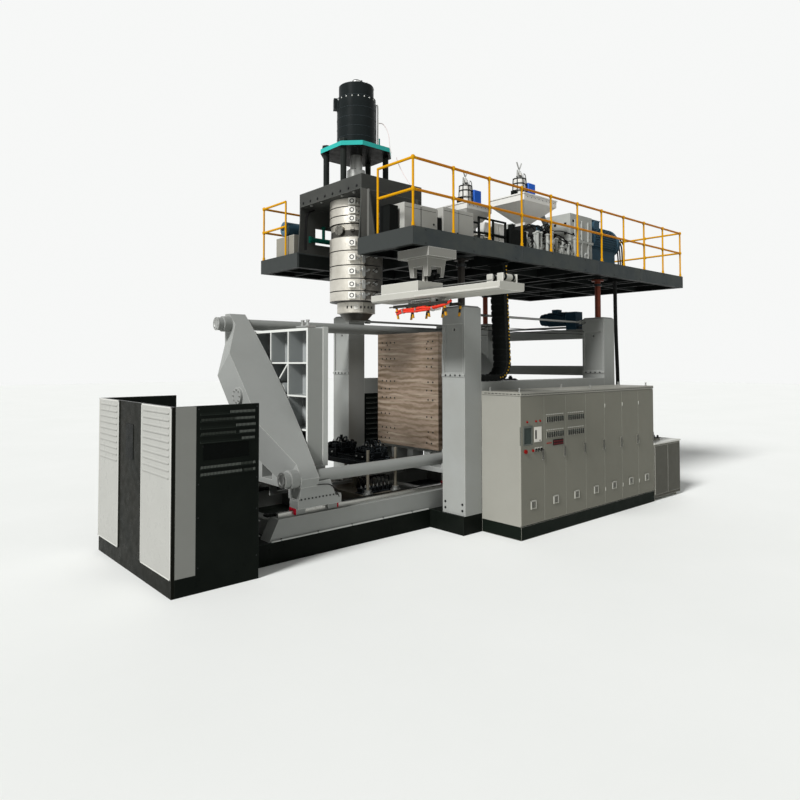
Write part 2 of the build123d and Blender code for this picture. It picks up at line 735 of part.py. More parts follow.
def guide_block(x, y):
    """Bearing block that straddles the rail under a carriage plate."""
    body = block(x, x + BLOCK_LENGTH, y - BLOCK_HALF_WIDTH, y + BLOCK_HALF_WIDTH,
                 BED_TOP + 10, CARRIAGE_PLATE_BOTTOM)
    half = RAIL_WIDTH / 2 + RUN_GAP
    return body - block(x - 1, x + BLOCK_LENGTH + 1, y - half, y + half, BED_TOP, RAIL_TOP + RUN_GAP)


def carriage_plates(x0, x1):
    """Near and far carriage plates with two bearing blocks under each."""
    pieces = []
    for side in (-1, 1):
        inner = side * CARRIAGE_INNER_Y
        outer = side * CARRIAGE_OUTER_Y
        pieces.append(block(x0, x1, inner, outer, CARRIAGE_PLATE_BOTTOM, CARRIAGE_PLATE_TOP))
        for x in (x0 + BLOCK_INSET, x1 - BLOCK_INSET - BLOCK_LENGTH):
            pieces.append(guide_block(x, side * RAIL_Y))
    return pieces


def cross_frame(x0, x1, bottom, top):
    """Windowed frame across the machine, with a low leg on each of the two carriage plates."""
    reach = CARRIAGE_INNER_Y - FRAME_END_GAP
    body = block(x0, x1, -reach, reach, bottom, top)
    pitch = 2 * reach / FRAME_WINDOW_COUNT
    half = FRAME_WINDOW_WIDTH / 2
    for i in range(FRAME_WINDOW_COUNT):
        middle = -reach + pitch * (i + 0.5)
        body -= block(x0 - 1, x1 + 1, middle - half, middle + half,
                      bottom + FRAME_MARGIN, top - FRAME_MARGIN)
    for side in (-1, 1):
        body += block(x0, x1, side * (reach - FRAME_LEG), side * (CARRIAGE_INNER_Y + FRAME_LEG),
                      CARRIAGE_PLATE_TOP, FRAME_LEG_TOP)
    return body


def beam_foot(face_x, outward):
    """Trapezoid foot that cradles the beam's lower end and stands on the near carriage plate."""
    back = face_x + outward * (BEAM_END_DEPTH - BEAM_FOOT_INSET)
    front = face_x - outward * BEAM_FOOT_REACH
    side = [(back + outward * BEAM_FOOT_BACK_SLOPE, CARRIAGE_PLATE_TOP), (back, BEAM_FOOT_TOP),
            (front, BEAM_FOOT_TOP), (front - outward * BEAM_FOOT_FRONT_SLOPE, CARRIAGE_PLATE_TOP)]
    return prism_y(side, -CARRIAGE_OUTER_Y, -CARRIAGE_INNER_Y)


def rack_bar(x0, x1, y_pitch, side):
    """Straight rack: its pitch line is at y_pitch and its teeth point to the pinion's axis.

    side is +1 when the bar lies beyond the pitch line and -1 when it lies before it. One tooth's
    middle is at X 0.
    """
    pitch = math.pi * GEAR_MODULE
    half_tip = pitch / 4 - GEAR_MODULE * math.tan(math.radians(20)) - GEAR_BACKLASH / 2
    half_root = pitch / 4 + 1.2 * GEAR_MODULE * math.tan(math.radians(20)) - GEAR_BACKLASH / 2
    tip = y_pitch - side * GEAR_MODULE
    root = y_pitch + side * 1.25 * GEAR_MODULE
    back = root + side * RACK_BACK
    points = [(x0, back), (x0, root)]
    first = math.ceil((x0 + pitch / 2) / pitch)
    last = math.floor((x1 - pitch / 2) / pitch)
    for i in range(first, last + 1):
        middle = i * pitch
        points += [(middle - half_root, root), (middle - half_tip, tip),
                   (middle + half_tip, tip), (middle + half_root, root)]
    points += [(x1, root), (x1, back)]
    return prism_z(points, GEAR_Z, GEAR_Z + GEAR_FACE)


def rack_with_hanger(side):
    """Rack of one half of the clamp, hung from its cross frame and reaching past the pinion."""
    inner_end = CARRIAGE_LENGTH / 2
    start = side * (HALF_DAYLIGHT + inner_end)
    end = -side * RACK_OVERRUN
    x0 = min(start, end)
    x1 = max(start, end)
    y_pitch = PINION_Y + side * PITCH_RADIUS
    rack = rack_bar(x0, x1, y_pitch, side)
    back = y_pitch + side * (1.25 * GEAR_MODULE + RACK_BACK)
    front = y_pitch + side * 1.25 * GEAR_MODULE
    hanger = block(start, start - side * 120, front, back, GEAR_Z + GEAR_FACE, CARRIAGE_PLATE_TOP + 60)
    return rack + hanger


def left_carriage():
    """Carriage of the clamp ring's left end: plates, blocks, foot, frames and rack."""
    x0 = BEAM_FACE_X - CARRIAGE_BEHIND
    beam_end = BEAM_FACE_X - BEAM_END_DEPTH
    body = joined(*carriage_plates(x0, x0 + CARRIAGE_LENGTH))
    body += beam_foot(BEAM_FACE_X, -1)
    body += cross_frame(beam_end, BEAM_FACE_X, RING_FRAME_BOTTOM, RING_FRAME_TOP)
    body -= diagonal_beam(BEAM_FACE_X, -1)
    for space in tie_bar_spaces(beam_end, -HALF_DAYLIGHT):
        body -= space
    body += cross_frame(-PLATEN_BACK, -HALF_DAYLIGHT - PLATEN_SKIN, CARRIAGE_PLATE_TOP, PLATEN_BOTTOM)
    body += rack_with_hanger(-1)
    return body


def right_carriage():
    """Carriage of the right platen: plates, blocks, windowed rest and rack."""
    x0 = HALF_DAYLIGHT - CARRIAGE_OVERHANG
    x1 = x0 + CARRIAGE_LENGTH
    body = joined(*carriage_plates(x0, x1))
    body += cross_frame(HALF_DAYLIGHT + PLATEN_SKIN, PLATEN_BACK, CARRIAGE_PLATE_TOP, PLATEN_BOTTOM)
    for y in (-PLATEN_HALF_WIDTH + GUSSET_INSET, PLATEN_HALF_WIDTH - GUSSET_INSET - GUSSET_THICKNESS):
        gusset = [(PLATEN_BACK - 1, CARRIAGE_PLATE_TOP), (x1 - GUSSET_INSET, CARRIAGE_PLATE_TOP),
                  (PLATEN_BACK - 1, PLATEN_BOTTOM)]
        body += prism_y(gusset, y, y + GUSSET_THICKNESS)
    body += rack_with_hanger(1)
    return body


def platen(outward):
    """Mould platen: a thick skin with a rim and square rib cells behind it.

    outward is -1 for the left platen and +1 for the right one, and is where its back faces.
    """
    face = outward * HALF_DAYLIGHT
    back = outward * PLATEN_BACK
    body = block(face, back, -PLATEN_HALF_WIDTH, PLATEN_HALF_WIDTH, PLATEN_BOTTOM, PLATEN_TOP)
    inner_width = 2 * (PLATEN_HALF_WIDTH - PLATEN_RIM)
    inner_height = PLATEN_TOP - PLATEN_BOTTOM - 2 * PLATEN_RIM
    cell_y = (inner_width - (PLATEN_COLUMNS - 1) * PLATEN_RIB) / PLATEN_COLUMNS
    cell_z = (inner_height - (PLATEN_ROWS - 1) * PLATEN_RIB) / PLATEN_ROWS
    floor = face + outward * PLATEN_SKIN
    lip = PLATEN_HALF_WIDTH + PLATEN_LIP
    body += block(face, floor, -lip, lip, PLATEN_BOTTOM - PLATEN_LIP, PLATEN_TOP + PLATEN_LIP)
    for column_index in range(PLATEN_COLUMNS):
        for row in range(PLATEN_ROWS):
            y = -PLATEN_HALF_WIDTH + PLATEN_RIM + column_index * (cell_y + PLATEN_RIB)
            z = PLATEN_BOTTOM + PLATEN_RIM + row * (cell_z + PLATEN_RIB)
            body -= block(floor, back + outward, y, y + cell_y, z, z + cell_z)
            if column_index == 1 and row == 2:
                lean = math.hypot(cell_y, cell_z)
                stay = Pos((floor + back) / 2, y + cell_y / 2, z + cell_z / 2)
                stay *= Rot(math.degrees(math.atan2(cell_y, cell_z)), 0, 0)
                plate = stay * Box(PLATEN_DEPTH - PLATEN_SKIN, PLATEN_RIB, lean)
                body += plate & block(floor, back, y - 1, y + cell_y + 1, z - 1, z + cell_z + 1)
    body += rod_x(min(floor, back), max(floor, back), 0, BEAM_CENTRE_Z, PLATEN_HUB_RADIUS)
    for y in (-PLATEN_BOLT_Y, PLATEN_BOLT_Y):
        for z in (-PLATEN_BOLT_Z, PLATEN_BOLT_Z):
            body -= rod_x(face - outward, face + outward * PLATEN_BOLT_DEPTH, y,
                          (PLATEN_BOTTOM + PLATEN_TOP) / 2 + z, PLATEN_BOLT_HOLE)
    return body


def tail_beam():
    """Right beam of the clamp ring with its own carriage and the clamp cylinder's bore."""
    end = TAIL_FACE_X + BEAM_END_DEPTH
    x1 = TAIL_FACE_X + CARRIAGE_BEHIND
    x0 = x1 - CARRIAGE_LENGTH
    body = joined(*carriage_plates(x0, x1))
    body += beam_foot(TAIL_FACE_X, 1)
    body += cross_frame(TAIL_FACE_X, end, RING_FRAME_BOTTOM, RING_FRAME_TOP)
    body += diagonal_beam(TAIL_FACE_X, 1)
    for space in tie_bar_spaces(x0, end):
        body -= space
    return body - rod_x(TAIL_FACE_X - 1, TAIL_FACE_X + BEAM_BELLY_DEPTH + 1, 0, BEAM_CENTRE_Z,
                        CLAMP_BARREL_RADIUS)


def clamp_cylinder():
    """Clamp cylinder barrel, flanged to the right beam's flat face."""
    front = TAIL_FACE_X - CLAMP_BARREL_FRONT
    back = TAIL_FACE_X + CLAMP_BARREL_BACK
    body = rod_x(front, back, 0, BEAM_CENTRE_Z, CLAMP_BARREL_RADIUS)
    flange_radius = CLAMP_BARREL_RADIUS + CLAMP_FLANGE_REACH
    body += rod_x(TAIL_FACE_X - 60, TAIL_FACE_X, 0, BEAM_CENTRE_Z, flange_radius)
    body += rod_x(front, front + 90, 0, BEAM_CENTRE_Z, CLAMP_BARREL_RADIUS + 25)
    body -= rod_x(front - 1, front + 91, 0, BEAM_CENTRE_Z, CLAMP_ROD_RADIUS + SHAFT_GAP)
    return body - rod_x(front + 90, back - 60, 0, BEAM_CENTRE_Z, CLAMP_ROD_RADIUS + ROD_GAP)


def clamp_rod():
    """Rod of the clamp cylinder, with its pad on the back of the right platen."""
    reach = TAIL_FACE_X + CLAMP_BARREL_BACK - 90
    body = rod_x(PLATEN_BACK, reach, 0, BEAM_CENTRE_Z, CLAMP_ROD_RADIUS)
    return body + rod_x(PLATEN_BACK, PLATEN_BACK + 60, 0, BEAM_CENTRE_Z, CLAMP_ROD_PAD_RADIUS)


def sync_pinion():
    """Spur pinion on a fixed pin, with involute teeth from the formula of a string unwound."""
    base = PITCH_RADIUS * math.cos(math.radians(20))
    tip = PITCH_RADIUS + GEAR_MODULE
    root = PITCH_RADIUS - 1.25 * GEAR_MODULE
    thickness = math.pi * GEAR_MODULE / 2 - GEAR_BACKLASH
    at_pitch = math.tan(math.radians(20)) - math.radians(20)
    half_base = thickness / 2 / PITCH_RADIUS + at_pitch
    radii = [base + (tip - base) * i / 4 for i in range(5)]
    points = []
    for tooth in range(PINION_TEETH):
        middle = math.tau * (tooth + 0.5) / PINION_TEETH + math.pi / 2
        flank = []
        for radius in radii:
            pressure = math.acos(base / radius)
            flank.append((radius, half_base - (math.tan(pressure) - pressure)))
        profile = [(root, -half_base)] + [(r, -a) for r, a in flank]
        profile += [(r, a) for r, a in reversed(flank)] + [(root, half_base)]
        points += [(r * math.cos(middle + a), PINION_Y + r * math.sin(middle + a)) for r, a in profile]
    body = prism_z(points, GEAR_Z, GEAR_Z + GEAR_FACE)
    return body - rod_z(GEAR_Z - 1, GEAR_Z + GEAR_FACE + 1, 0, PINION_Y, PINION_PIN_RADIUS + SHAFT_GAP)


# Blow pin unit

def blow_unit_base():
    """Block between the bed beams with four guide posts, a lift cylinder and the pinion's pin."""
    body = block(-BLOW_HALF_X, BLOW_HALF_X, -BLOW_HALF_Y, BLOW_HALF_Y, BASE_HEIGHT, BLOW_BASE_TOP)
    for x in (-BLOW_POST_X, BLOW_POST_X):
        for y in (-BLOW_POST_Y, BLOW_POST_Y):
            body += rod_z(BLOW_BASE_TOP - 1, BLOW_POST_TOP, x, y, BLOW_POST_RADIUS)
            body += rod_z(BLOW_BASE_TOP - 1, BLOW_BASE_TOP + 40, x, y, BLOW_POST_RADIUS * 2)
    body += rod_z(BLOW_BASE_TOP - 1, BLOW_TABLE_BOTTOM - BLOW_DOWN - 20, 0, 0, BLOW_BARREL_RADIUS)
    body -= rod_z(BASE_HEIGHT + 40, BLOW_TABLE_BOTTOM, 0, 0, BLOW_ROD_RADIUS + ROD_GAP)
    body += rod_z(BLOW_BASE_TOP - 1, GEAR_Z - RUN_GAP, 0, PINION_Y, PINION_PIN_RADIUS * 1.8)
    body += rod_z(BLOW_BASE_TOP - 1, GEAR_Z + GEAR_FACE + 10, 0, PINION_Y, PINION_PIN_RADIUS)
    return body


def blow_table():
    """Lifting table with post holes, slide ways for the spreaders and the lift rod."""
    body = block(-BLOW_HALF_X, BLOW_HALF_X, -BLOW_HALF_Y, BLOW_HALF_Y, BLOW_TABLE_BOTTOM, BLOW_TABLE_TOP)
    for x in (-BLOW_POST_X, BLOW_POST_X):
        for y in (-BLOW_POST_Y, BLOW_POST_Y):
            body -= rod_z(BLOW_TABLE_BOTTOM - 1, BLOW_TABLE_TOP + 1, x, y, BLOW_POST_RADIUS + SHAFT_GAP)
    body += rod_z(BASE_HEIGHT + 60 + BLOW_DOWN, BLOW_TABLE_BOTTOM + 1, 0, 0, BLOW_ROD_RADIUS)
    way = SPREADER_Y + SPREADER_LENGTH / 2 + SPREADER_STROKE
    for x in (-SPREADER_HALF_X + 50, SPREADER_HALF_X - 50):
        body += block(x - 20, x + 20, -way, way, BLOW_TABLE_TOP - 1, BLOW_TABLE_TOP + 40)
    return body


def spreader(side):
    """Spreader carriage on the table's two ways, with its blow pin, cylinder and clamp ears."""
    y = side * SPREADER_Y
    half = SPREADER_LENGTH / 2
    bottom = BLOW_TABLE_TOP + RUN_GAP
    top = bottom + SPREADER_HEIGHT
    body = block(-SPREADER_HALF_X, SPREADER_HALF_X, y - half, y + half, bottom, top)
    for x in (-SPREADER_HALF_X + 50, SPREADER_HALF_X - 50):
        body -= block(x - 20 - RUN_GAP, x + 20 + RUN_GAP, y - half - 1, y + half + 1,
                      bottom - 1, BLOW_TABLE_TOP + 40 + RUN_GAP)
    body += rod_z(top - 1, bottom + BLOW_PIN_HEIGHT, 0, y, BLOW_PIN_RADIUS)
    body += rod_z(top - 1, top + 60, 0, y, BLOW_PIN_RADIUS * 2.2)
    for x in (-SPREADER_HALF_X + 60, SPREADER_HALF_X - 60):
        body += rod_y(y - half, y + half, x, top + 25, 32)
        body += block(x - 40, x + 40, y - 50, y + 50, top - 1, top + 75)
    return body


# Guard

def louvres(x0, x1, y, z_top, rows, outward):
    """Rows of pressed louvres on a panel that faces along Y."""
    ridges = []
    for row in range(rows):
        z = z_top - row * LOUVRE_PITCH
        profile = [(y, z), (y + outward * LOUVRE_PROUD, z - LOUVRE_HEIGHT), (y, z - LOUVRE_HEIGHT)]
        ridges.append(prism_x(profile, x0, x1))
    return ridges


def guard_end_panel():
    """End wall of the guard: dark plinth and middle, with two light louvred panels set proud."""
    x = GUARD_LEFT
    inside = x + GUARD_PANEL_PROUD + GUARD_THICKNESS
    body = block(x + GUARD_PANEL_PROUD, inside, GUARD_NEAR_Y, GUARD_FAR_Y, 0, GUARD_HEIGHT)
    for y0, y1 in ((GUARD_NEAR_Y, GUARD_STRIPE_NEAR), (GUARD_STRIPE_FAR, GUARD_FAR_Y)):
        body += block(x, x + GUARD_PANEL_PROUD, y0, y1, GUARD_PLINTH, GUARD_HEIGHT)
        for row in range(LOUVRE_ROWS):
            z = GUARD_HEIGHT - 60 - row * LOUVRE_PITCH
            profile = [(x, z), (x - LOUVRE_PROUD, z - LOUVRE_HEIGHT), (x, z - LOUVRE_HEIGHT)]
            body += prism_y(profile, y0 + 70, y1 - 70)
    return body


def guard_wing(y, outward):
    """Side wing of the guard with rows of louvres; the near one has a light strip at its corner."""
    x0 = GUARD_LEFT + GUARD_PANEL_PROUD + GUARD_THICKNESS
    y_in = y - outward * GUARD_THICKNESS
    body = block(x0, GUARD_WING_END, y, y_in, 0, GUARD_HEIGHT)
    left = GUARD_LEFT + GUARD_WING_STRIPE + 50
    body += joined(*louvres(left, GUARD_WING_END - 60, y, GUARD_HEIGHT - 90, WING_LOUVRE_ROWS, outward))
    body += joined(*louvres(left, GUARD_WING_END - 60, y, GUARD_HEIGHT - 750, 2, outward))
    return body


def rear_louvre_guard():
    """Dark louvred screen that hangs under the far side beam, beside the far left column."""
    x0 = COLUMN_LEFT_X + COLUMN_X_SIZE / 2
    y0 = COLUMN_FAR_Y - COLUMN_Y_SIZE / 2 + 20
    top = SIDE_BEAM_TOP - SIDE_BEAM_SIZE
    body = block(x0, x0 + REAR_GUARD_LENGTH, y0, y0 + REAR_GUARD_THICKNESS, REAR_GUARD_BOTTOM, top)
    pitch = (top - REAR_GUARD_BOTTOM - 160) / REAR_LOUVRES
    for row in range(REAR_LOUVRES):
        z = top - 80 - row * pitch
        profile = [(y0, z), (y0 - LOUVRE_PROUD, z - LOUVRE_HEIGHT), (y0, z - LOUVRE_HEIGHT)]
        body += prism_x(profile, x0 + 60, x0 + REAR_GUARD_LENGTH - 60)
    return body


# Cabinets

def door_x(index):
    """Left edge of a cabinet door."""
    return CABINET_LEFT + index * DOOR_WIDTH


def door_leaf(index):
    """Folded door leaf with its vent hood and swing handle."""
    x0 = door_x(index) + DOOR_GAP / 2
    x1 = door_x(index + 1) - DOOR_GAP / 2
    front = CABINET_FRONT
    body = block(x0, x1, front, front + DOOR_THICKNESS, CABINET_PLINTH + 15,
                 CABINET_HEIGHT - CABINET_ROOF - 8)
    middle = (x0 + x1) / 2
    body += block(middle - VENT_SIZE / 2, middle + VENT_SIZE / 2, front - 14, front + 1,
                  VENT_Z - VENT_SIZE / 2, VENT_Z + VENT_SIZE / 2)
    body += block(x1 - 60, x1 - 30, front - 24, front + 1, DOOR_HANDLE_Z - 90, DOOR_HANDLE_Z + 90)
    return body


def control_cabinet():
    """Cabinet body on its plinth, with the roof, the fixed doors and the open bay of two doors."""
    front = CABINET_FRONT + DOOR_THICKNESS + RUN_GAP
    body = block(CABINET_LEFT, CABINET_RIGHT, front, CABINET_BACK, 0, CABINET_HEIGHT)
    body += block(CABINET_LEFT, CABINET_RIGHT, CABINET_FRONT - 5, front + 1,
                  CABINET_HEIGHT - CABINET_ROOF, CABINET_HEIGHT)
    body += block(CABINET_LEFT, CABINET_RIGHT, CABINET_FRONT, front + 1, 0, CABINET_PLINTH)
    bay_end = door_x(2) - CABINET_WALL
    body -= block(CABINET_LEFT + CABINET_WALL, bay_end, front - 1, CABINET_BACK - CABINET_WALL,
                  CABINET_PLINTH + CABINET_WALL, CABINET_HEIGHT - CABINET_ROOF - CABINET_WALL)
    body -= block(CABINET_LEFT + 90, CABINET_LEFT + 90 + VENT_SIZE, CABINET_BACK - CABINET_WALL - 1,
                  CABINET_BACK + 1, VENT_Z, VENT_Z + VENT_SIZE)
    body += Pos(0, RUN_GAP, 0) * controller_door(2)
    for index in range(3, DOOR_COUNT):
        body += Pos(0, RUN_GAP, 0) * door_leaf(index)
    return body


def button_bore(x, radius):
    """Hole in the operator's door for a push button's stem."""
    return rod_y(CABINET_FRONT - 1, CABINET_FRONT + DOOR_THICKNESS + 1, x, BUTTON_Z, radius)


def operator_door():
    """First door: screen recess, small control panel and the holes of the two buttons."""
    x0 = door_x(0)
    front = CABINET_FRONT
    body = door_leaf(0)
    body -= block(x0 + 70, x0 + 290, front - 1, front + 8, 1470, 1760)
    body += block(x0 + 340, x0 + 530, front - 10, front + 1, 1500, 1740)
    for offset in (380, 450, 520):
        body += block(x0 + offset - 24, x0 + offset + 24, front - 6, front + 1,
                      BUTTON_Z - 34, BUTTON_Z + 44)
    for radius, offset in ((STOP_RADIUS, STOP_X_OFFSET), (BUTTON_RADIUS, START_X_OFFSET)):
        body -= button_bore(x0 + offset, radius * 0.5 + RUN_GAP)
    return body


def controller_door(index):
    """Door with two rows of temperature controllers."""
    x0 = door_x(index)
    front = CABINET_FRONT
    body = door_leaf(index)
    for z in CONTROLLER_ROWS_Z:
        for i in range(CONTROLLERS_PER_ROW):
            x = x0 + CONTROLLER_PITCH * (i + 1)
            body += block(x, x + CONTROLLER_WIDTH, front - 10, front + 1, z, z + CONTROLLER_HEIGHT)
    return body


def push_button(x_offset, radius):
    """Mushroom push button on a stem through the door, held in by a collar behind."""
    x = door_x(0) + x_offset
    face = CABINET_FRONT - BUTTON_TRAVEL - RUN_GAP
    body = rod_y(face - BUTTON_HEIGHT, face, x, BUTTON_Z, radius)
    behind = CABINET_FRONT + DOOR_THICKNESS + RUN_GAP
    body += rod_y(face - 1, behind + 8, x, BUTTON_Z, radius * 0.5)
    return body + rod_y(behind, behind + 8, x, BUTTON_Z, radius * 0.75)


def low_cabinet():
    """Low cabinet against the control cabinet's right end, on small feet."""
    front = CABINET_FRONT
    back = CABINET_BACK - 180
    body = block(CABINET_RIGHT, LOW_CABINET_RIGHT, front, back, LOW_CABINET_FOOT, LOW_CABINET_HEIGHT)
    body += block(CABINET_RIGHT, LOW_CABINET_RIGHT + 15, front - 15, back + 15,
                  LOW_CABINET_HEIGHT - 30, LOW_CABINET_HEIGHT)
    for x in (CABINET_RIGHT + 80, LOW_CABINET_RIGHT - 80):
        for y in (front + 80, back - 80):
            body += rod_z(0, LOW_CABINET_FOOT + 1, x, y, 30)
    middle = (CABINET_RIGHT + LOW_CABINET_RIGHT) / 2
    body += block(middle - 90, middle + 90, front + 200, front + 380, LOW_CABINET_HEIGHT - 1,
                  LOW_CABINET_HEIGHT + 50)
    for x in (CABINET_RIGHT + 30, middle + 5):
        width = (LOW_CABINET_RIGHT - CABINET_RIGHT) / 2 - 35
        body += block(x, x + width, front - 14, front + 1,
                      LOW_CABINET_FOOT + 60, LOW_CABINET_HEIGHT - 60)
    elbow = HOSE_RADIUS + 22
    body += block(HOSE_X - elbow, HOSE_X + elbow, back - 1, HOSE_Y + elbow,
                  HOSE_ENTRY_Z - 150, HOSE_ENTRY_Z)
    return body


# Platform

def platform_frame():
    """Welded platform with a deck plate, ribs below and a notch for the head at its left end."""
    wide = PLATFORM_HALF_WIDTH
    body = block(PLATFORM_LEFT, PLATFORM_RIGHT, -wide, wide, PLATFORM_BOTTOM, PLATFORM_TOP)
    body -= block(PLATFORM_LEFT - 1, NOTCH_END, -NOTCH_HALF_WIDTH, NOTCH_HALF_WIDTH,
                  PLATFORM_BOTTOM - 1, PLATFORM_TOP + 1)
    ceiling = PLATFORM_TOP - PLATFORM_DECK
    for x0, x1, y0, y1 in ((NOTCH_END, PLATFORM_RIGHT, -wide, wide),
                           (PLATFORM_LEFT, NOTCH_END, -wide, -NOTCH_HALF_WIDTH),
                           (PLATFORM_LEFT, NOTCH_END, NOTCH_HALF_WIDTH, wide)):
        body -= cells(x0, x1, y0, y1, PLATFORM_BOTTOM + 8, ceiling, PLATFORM_EDGE, PLATFORM_RIB,
                      PLATFORM_CELL_PITCH)
        body -= cells(x0, x1, y0, y1, PLATFORM_BOTTOM - 1, PLATFORM_BOTTOM + 9, PLATFORM_EDGE * 2,
                      PLATFORM_RIB * 2, PLATFORM_CELL_PITCH * 2)
    for x in COLUMN_X.values():
        for y in COLUMN_Y.values():
            pad = SCREW_FLANGE_RADIUS + 25
            body += block(x - pad, x + pad, y - pad, y + pad, PLATFORM_BOTTOM, ceiling + 1)
    return body


def railing_run(start, end, bays, first_post, last_post):
    """Straight run of railing: a top rail, a middle rail and its posts."""
    (x0, y0), (x1, y1) = start, end
    along_x = abs(x1 - x0) > abs(y1 - y0)
    body = None
    for height in (RAILING_HEIGHT, RAILING_MIDDLE):
        z = PLATFORM_TOP + height - RAILING_RADIUS
        rail = rod_x(x0, x1, y0, z, RAILING_RADIUS) if along_x else rod_y(y0, y1, x0, z, RAILING_RADIUS)
        body = rail if body is None else body + rail
    for i in range(0 if first_post else 1, bays + (1 if last_post else 0)):
        x = x0 + (x1 - x0) * i / bays
        y = y0 + (y1 - y0) * i / bays
        post_top = PLATFORM_TOP + RAILING_HEIGHT - RAILING_RADIUS
        body += rod_z(PLATFORM_TOP, post_top, x, y, RAILING_POST_RADIUS)
    return body


def guardrail():
    """Railing round three sides of the platform, with a short return at each arm of the notch."""
    left = PLATFORM_LEFT + RAILING_INSET
    right = PLATFORM_RIGHT - RAILING_INSET
    edge = PLATFORM_HALF_WIDTH - RAILING_INSET
    clear = RAILING_RADIUS
    return [railing_run((left, -edge), (right, -edge), RAILING_BAYS, True, True),
            railing_run((left, edge), (right, edge), RAILING_BAYS, True, True),
            railing_run((right, -edge + clear), (right, edge - clear), RAILING_END_BAYS, False, False),
            railing_run((left, -edge + clear), (left, -edge + RAILING_RETURN), 1, False, True),
            railing_run((left, edge - clear), (left, edge - RAILING_RETURN), 1, False, True)]


def head_portal():
    """Portal frame over the head, with a bottom plate that the head hangs from."""
    wide = PORTAL_HALF_WIDTH
    body = block(PORTAL_LEFT, PORTAL_RIGHT, -wide, wide, PORTAL_BOTTOM, PORTAL_TOP)
    body -= block(PORTAL_LEFT + PORTAL_BAR, PORTAL_RIGHT - PORTAL_RIGHT_BAR, -wide + PORTAL_BAR,
                  wide - PORTAL_BAR, PORTAL_BOTTOM + PORTAL_PLATE, PORTAL_TOP + 1)
    return body - rod_z(PORTAL_BOTTOM - 1, PORTAL_TOP, 0, 0, PORTAL_HOLE_RADIUS)


def portal_walls():
    """Side walls between the platform and the portal, raked at the left and ribbed outside."""
    walls = []
    for side in (-1, 1):
        inner = side * (PORTAL_HALF_WIDTH - WALL_THICKNESS)
        outer = side * PORTAL_HALF_WIDTH
        outline = [(PLATFORM_LEFT + 20, PLATFORM_TOP), (PORTAL_RIGHT, PLATFORM_TOP),
                   (PORTAL_RIGHT, PORTAL_BOTTOM), (PORTAL_LEFT, PORTAL_BOTTOM),
                   (PORTAL_LEFT, PORTAL_BOTTOM - WALL_SLOPE)]
        wall = prism_y(outline, min(inner, outer), max(inner, outer))
        wall -= block(PORTAL_LEFT + 330, PORTAL_RIGHT - 330, inner - 60, outer + 60,
                      PLATFORM_TOP + 180, PLATFORM_TOP + 480)
        for x in (PORTAL_LEFT + 120, PORTAL_RIGHT - 144):
            rib = [(outer - side, PLATFORM_TOP), (outer + side * 200, PLATFORM_TOP),
                   (outer + side * 40, PORTAL_BOTTOM), (outer - side, PORTAL_BOTTOM)]
            wall += prism_x(rib, x, x + WALL_THICKNESS)
        walls.append(wall)
    return walls


def accumulator_head():
    """Accumulator head: a stack of banded rings, a smaller lower ring and the die below."""
    joints = [HEAD_JOINTS[0], *HEAD_JOINTS[1:], PORTAL_BOTTOM]
    slit_top = DIE_BOTTOM + DIE_GAP_DEPTH
    slit_outer = DIE_SLIT_RADIUS + DIE_GAP
    outline = [(0, DIE_BOTTOM), (DIE_SLIT_RADIUS, DIE_BOTTOM), (DIE_SLIT_RADIUS, slit_top),
               (slit_outer, slit_top), (slit_outer, DIE_BOTTOM),
               (DIE_RADIUS, DIE_BOTTOM), (LOWER_RING_RADIUS - 40, LOWER_RING_BOTTOM - 10),
               (LOWER_RING_RADIUS, LOWER_RING_BOTTOM), (LOWER_RING_RADIUS, joints[0])]
    groove = HEAD_RADIUS - HEAD_NARROWING - HEAD_GROOVE_DEPTH
    for ring, (low, high) in enumerate(zip(joints, joints[1:])):
        radius = HEAD_RADIUS - (HEAD_NARROWING if ring == HEAD_NARROW_RING else 0)
        start = groove if ring else radius
        outline += [(start, low), (start, low + HEAD_GROOVE / 2),
                    (radius, low + HEAD_GROOVE / 2), (radius, high - HEAD_GROOVE / 2),
                    (groove, high - HEAD_GROOVE / 2)]
    outline += [(groove, joints[-1]), (HEAD_BORE_RADIUS, joints[-1]), (HEAD_BORE_RADIUS, HEAD_BORE_BOTTOM),
                (0, HEAD_BORE_BOTTOM)]
    clean = [point for i, point in enumerate(outline) if i == 0 or point != outline[i - 1]]
    profile = make_face(Polyline([(r, 0, z) for r, z in clean], close=True))
    body = revolve(profile, Axis.Z)
    for angle in TERMINAL_ANGLES:
        for low, high in zip(joints, joints[1:]):
            radius = HEAD_RADIUS - HEAD_NARROWING - 1
            terminal = Pos(radius + TERMINAL_SIZE / 2, 0, (low + high) / 2)
            body += Rot(0, 0, angle) * terminal * Box(TERMINAL_SIZE, TERMINAL_SIZE, TERMINAL_SIZE)
    for low, high in zip(joints, joints[1:]):
        lug = Pos(HEAD_RADIUS, 0, (low + high) / 2) * Box(60, 36, high - low - 40)
        body += Rot(0, 0, SEAM_ANGLE) * lug
    port_z = SCREW_AXIS_Z
    body += rod_x(0.7 * HEAD_RADIUS, PORT_FACE, 0, port_z, PORT_RADIUS)
    body += Rot(0, 0, -45) * rod_x(0.7 * HEAD_RADIUS, PORT_FACE, 0, port_z, PORT_RADIUS)
    body += Rot(0, 0, 195) * rod_x(0.7 * HEAD_RADIUS, PORT_FACE - 40, 0, port_z, PORT_RADIUS * 0.75)
    return body - rod_z(HEAD_BORE_BOTTOM, PORTAL_BOTTOM + 1, 0, 0, HEAD_BORE_RADIUS)


def clipped_square(half, clip):
    """Square outline with its four corners clipped."""
    cut = half - clip
    return [(-half, -cut), (-cut, -half), (cut, -half), (half, -cut),
            (half, cut), (cut, half), (-cut, half), (-half, cut)]


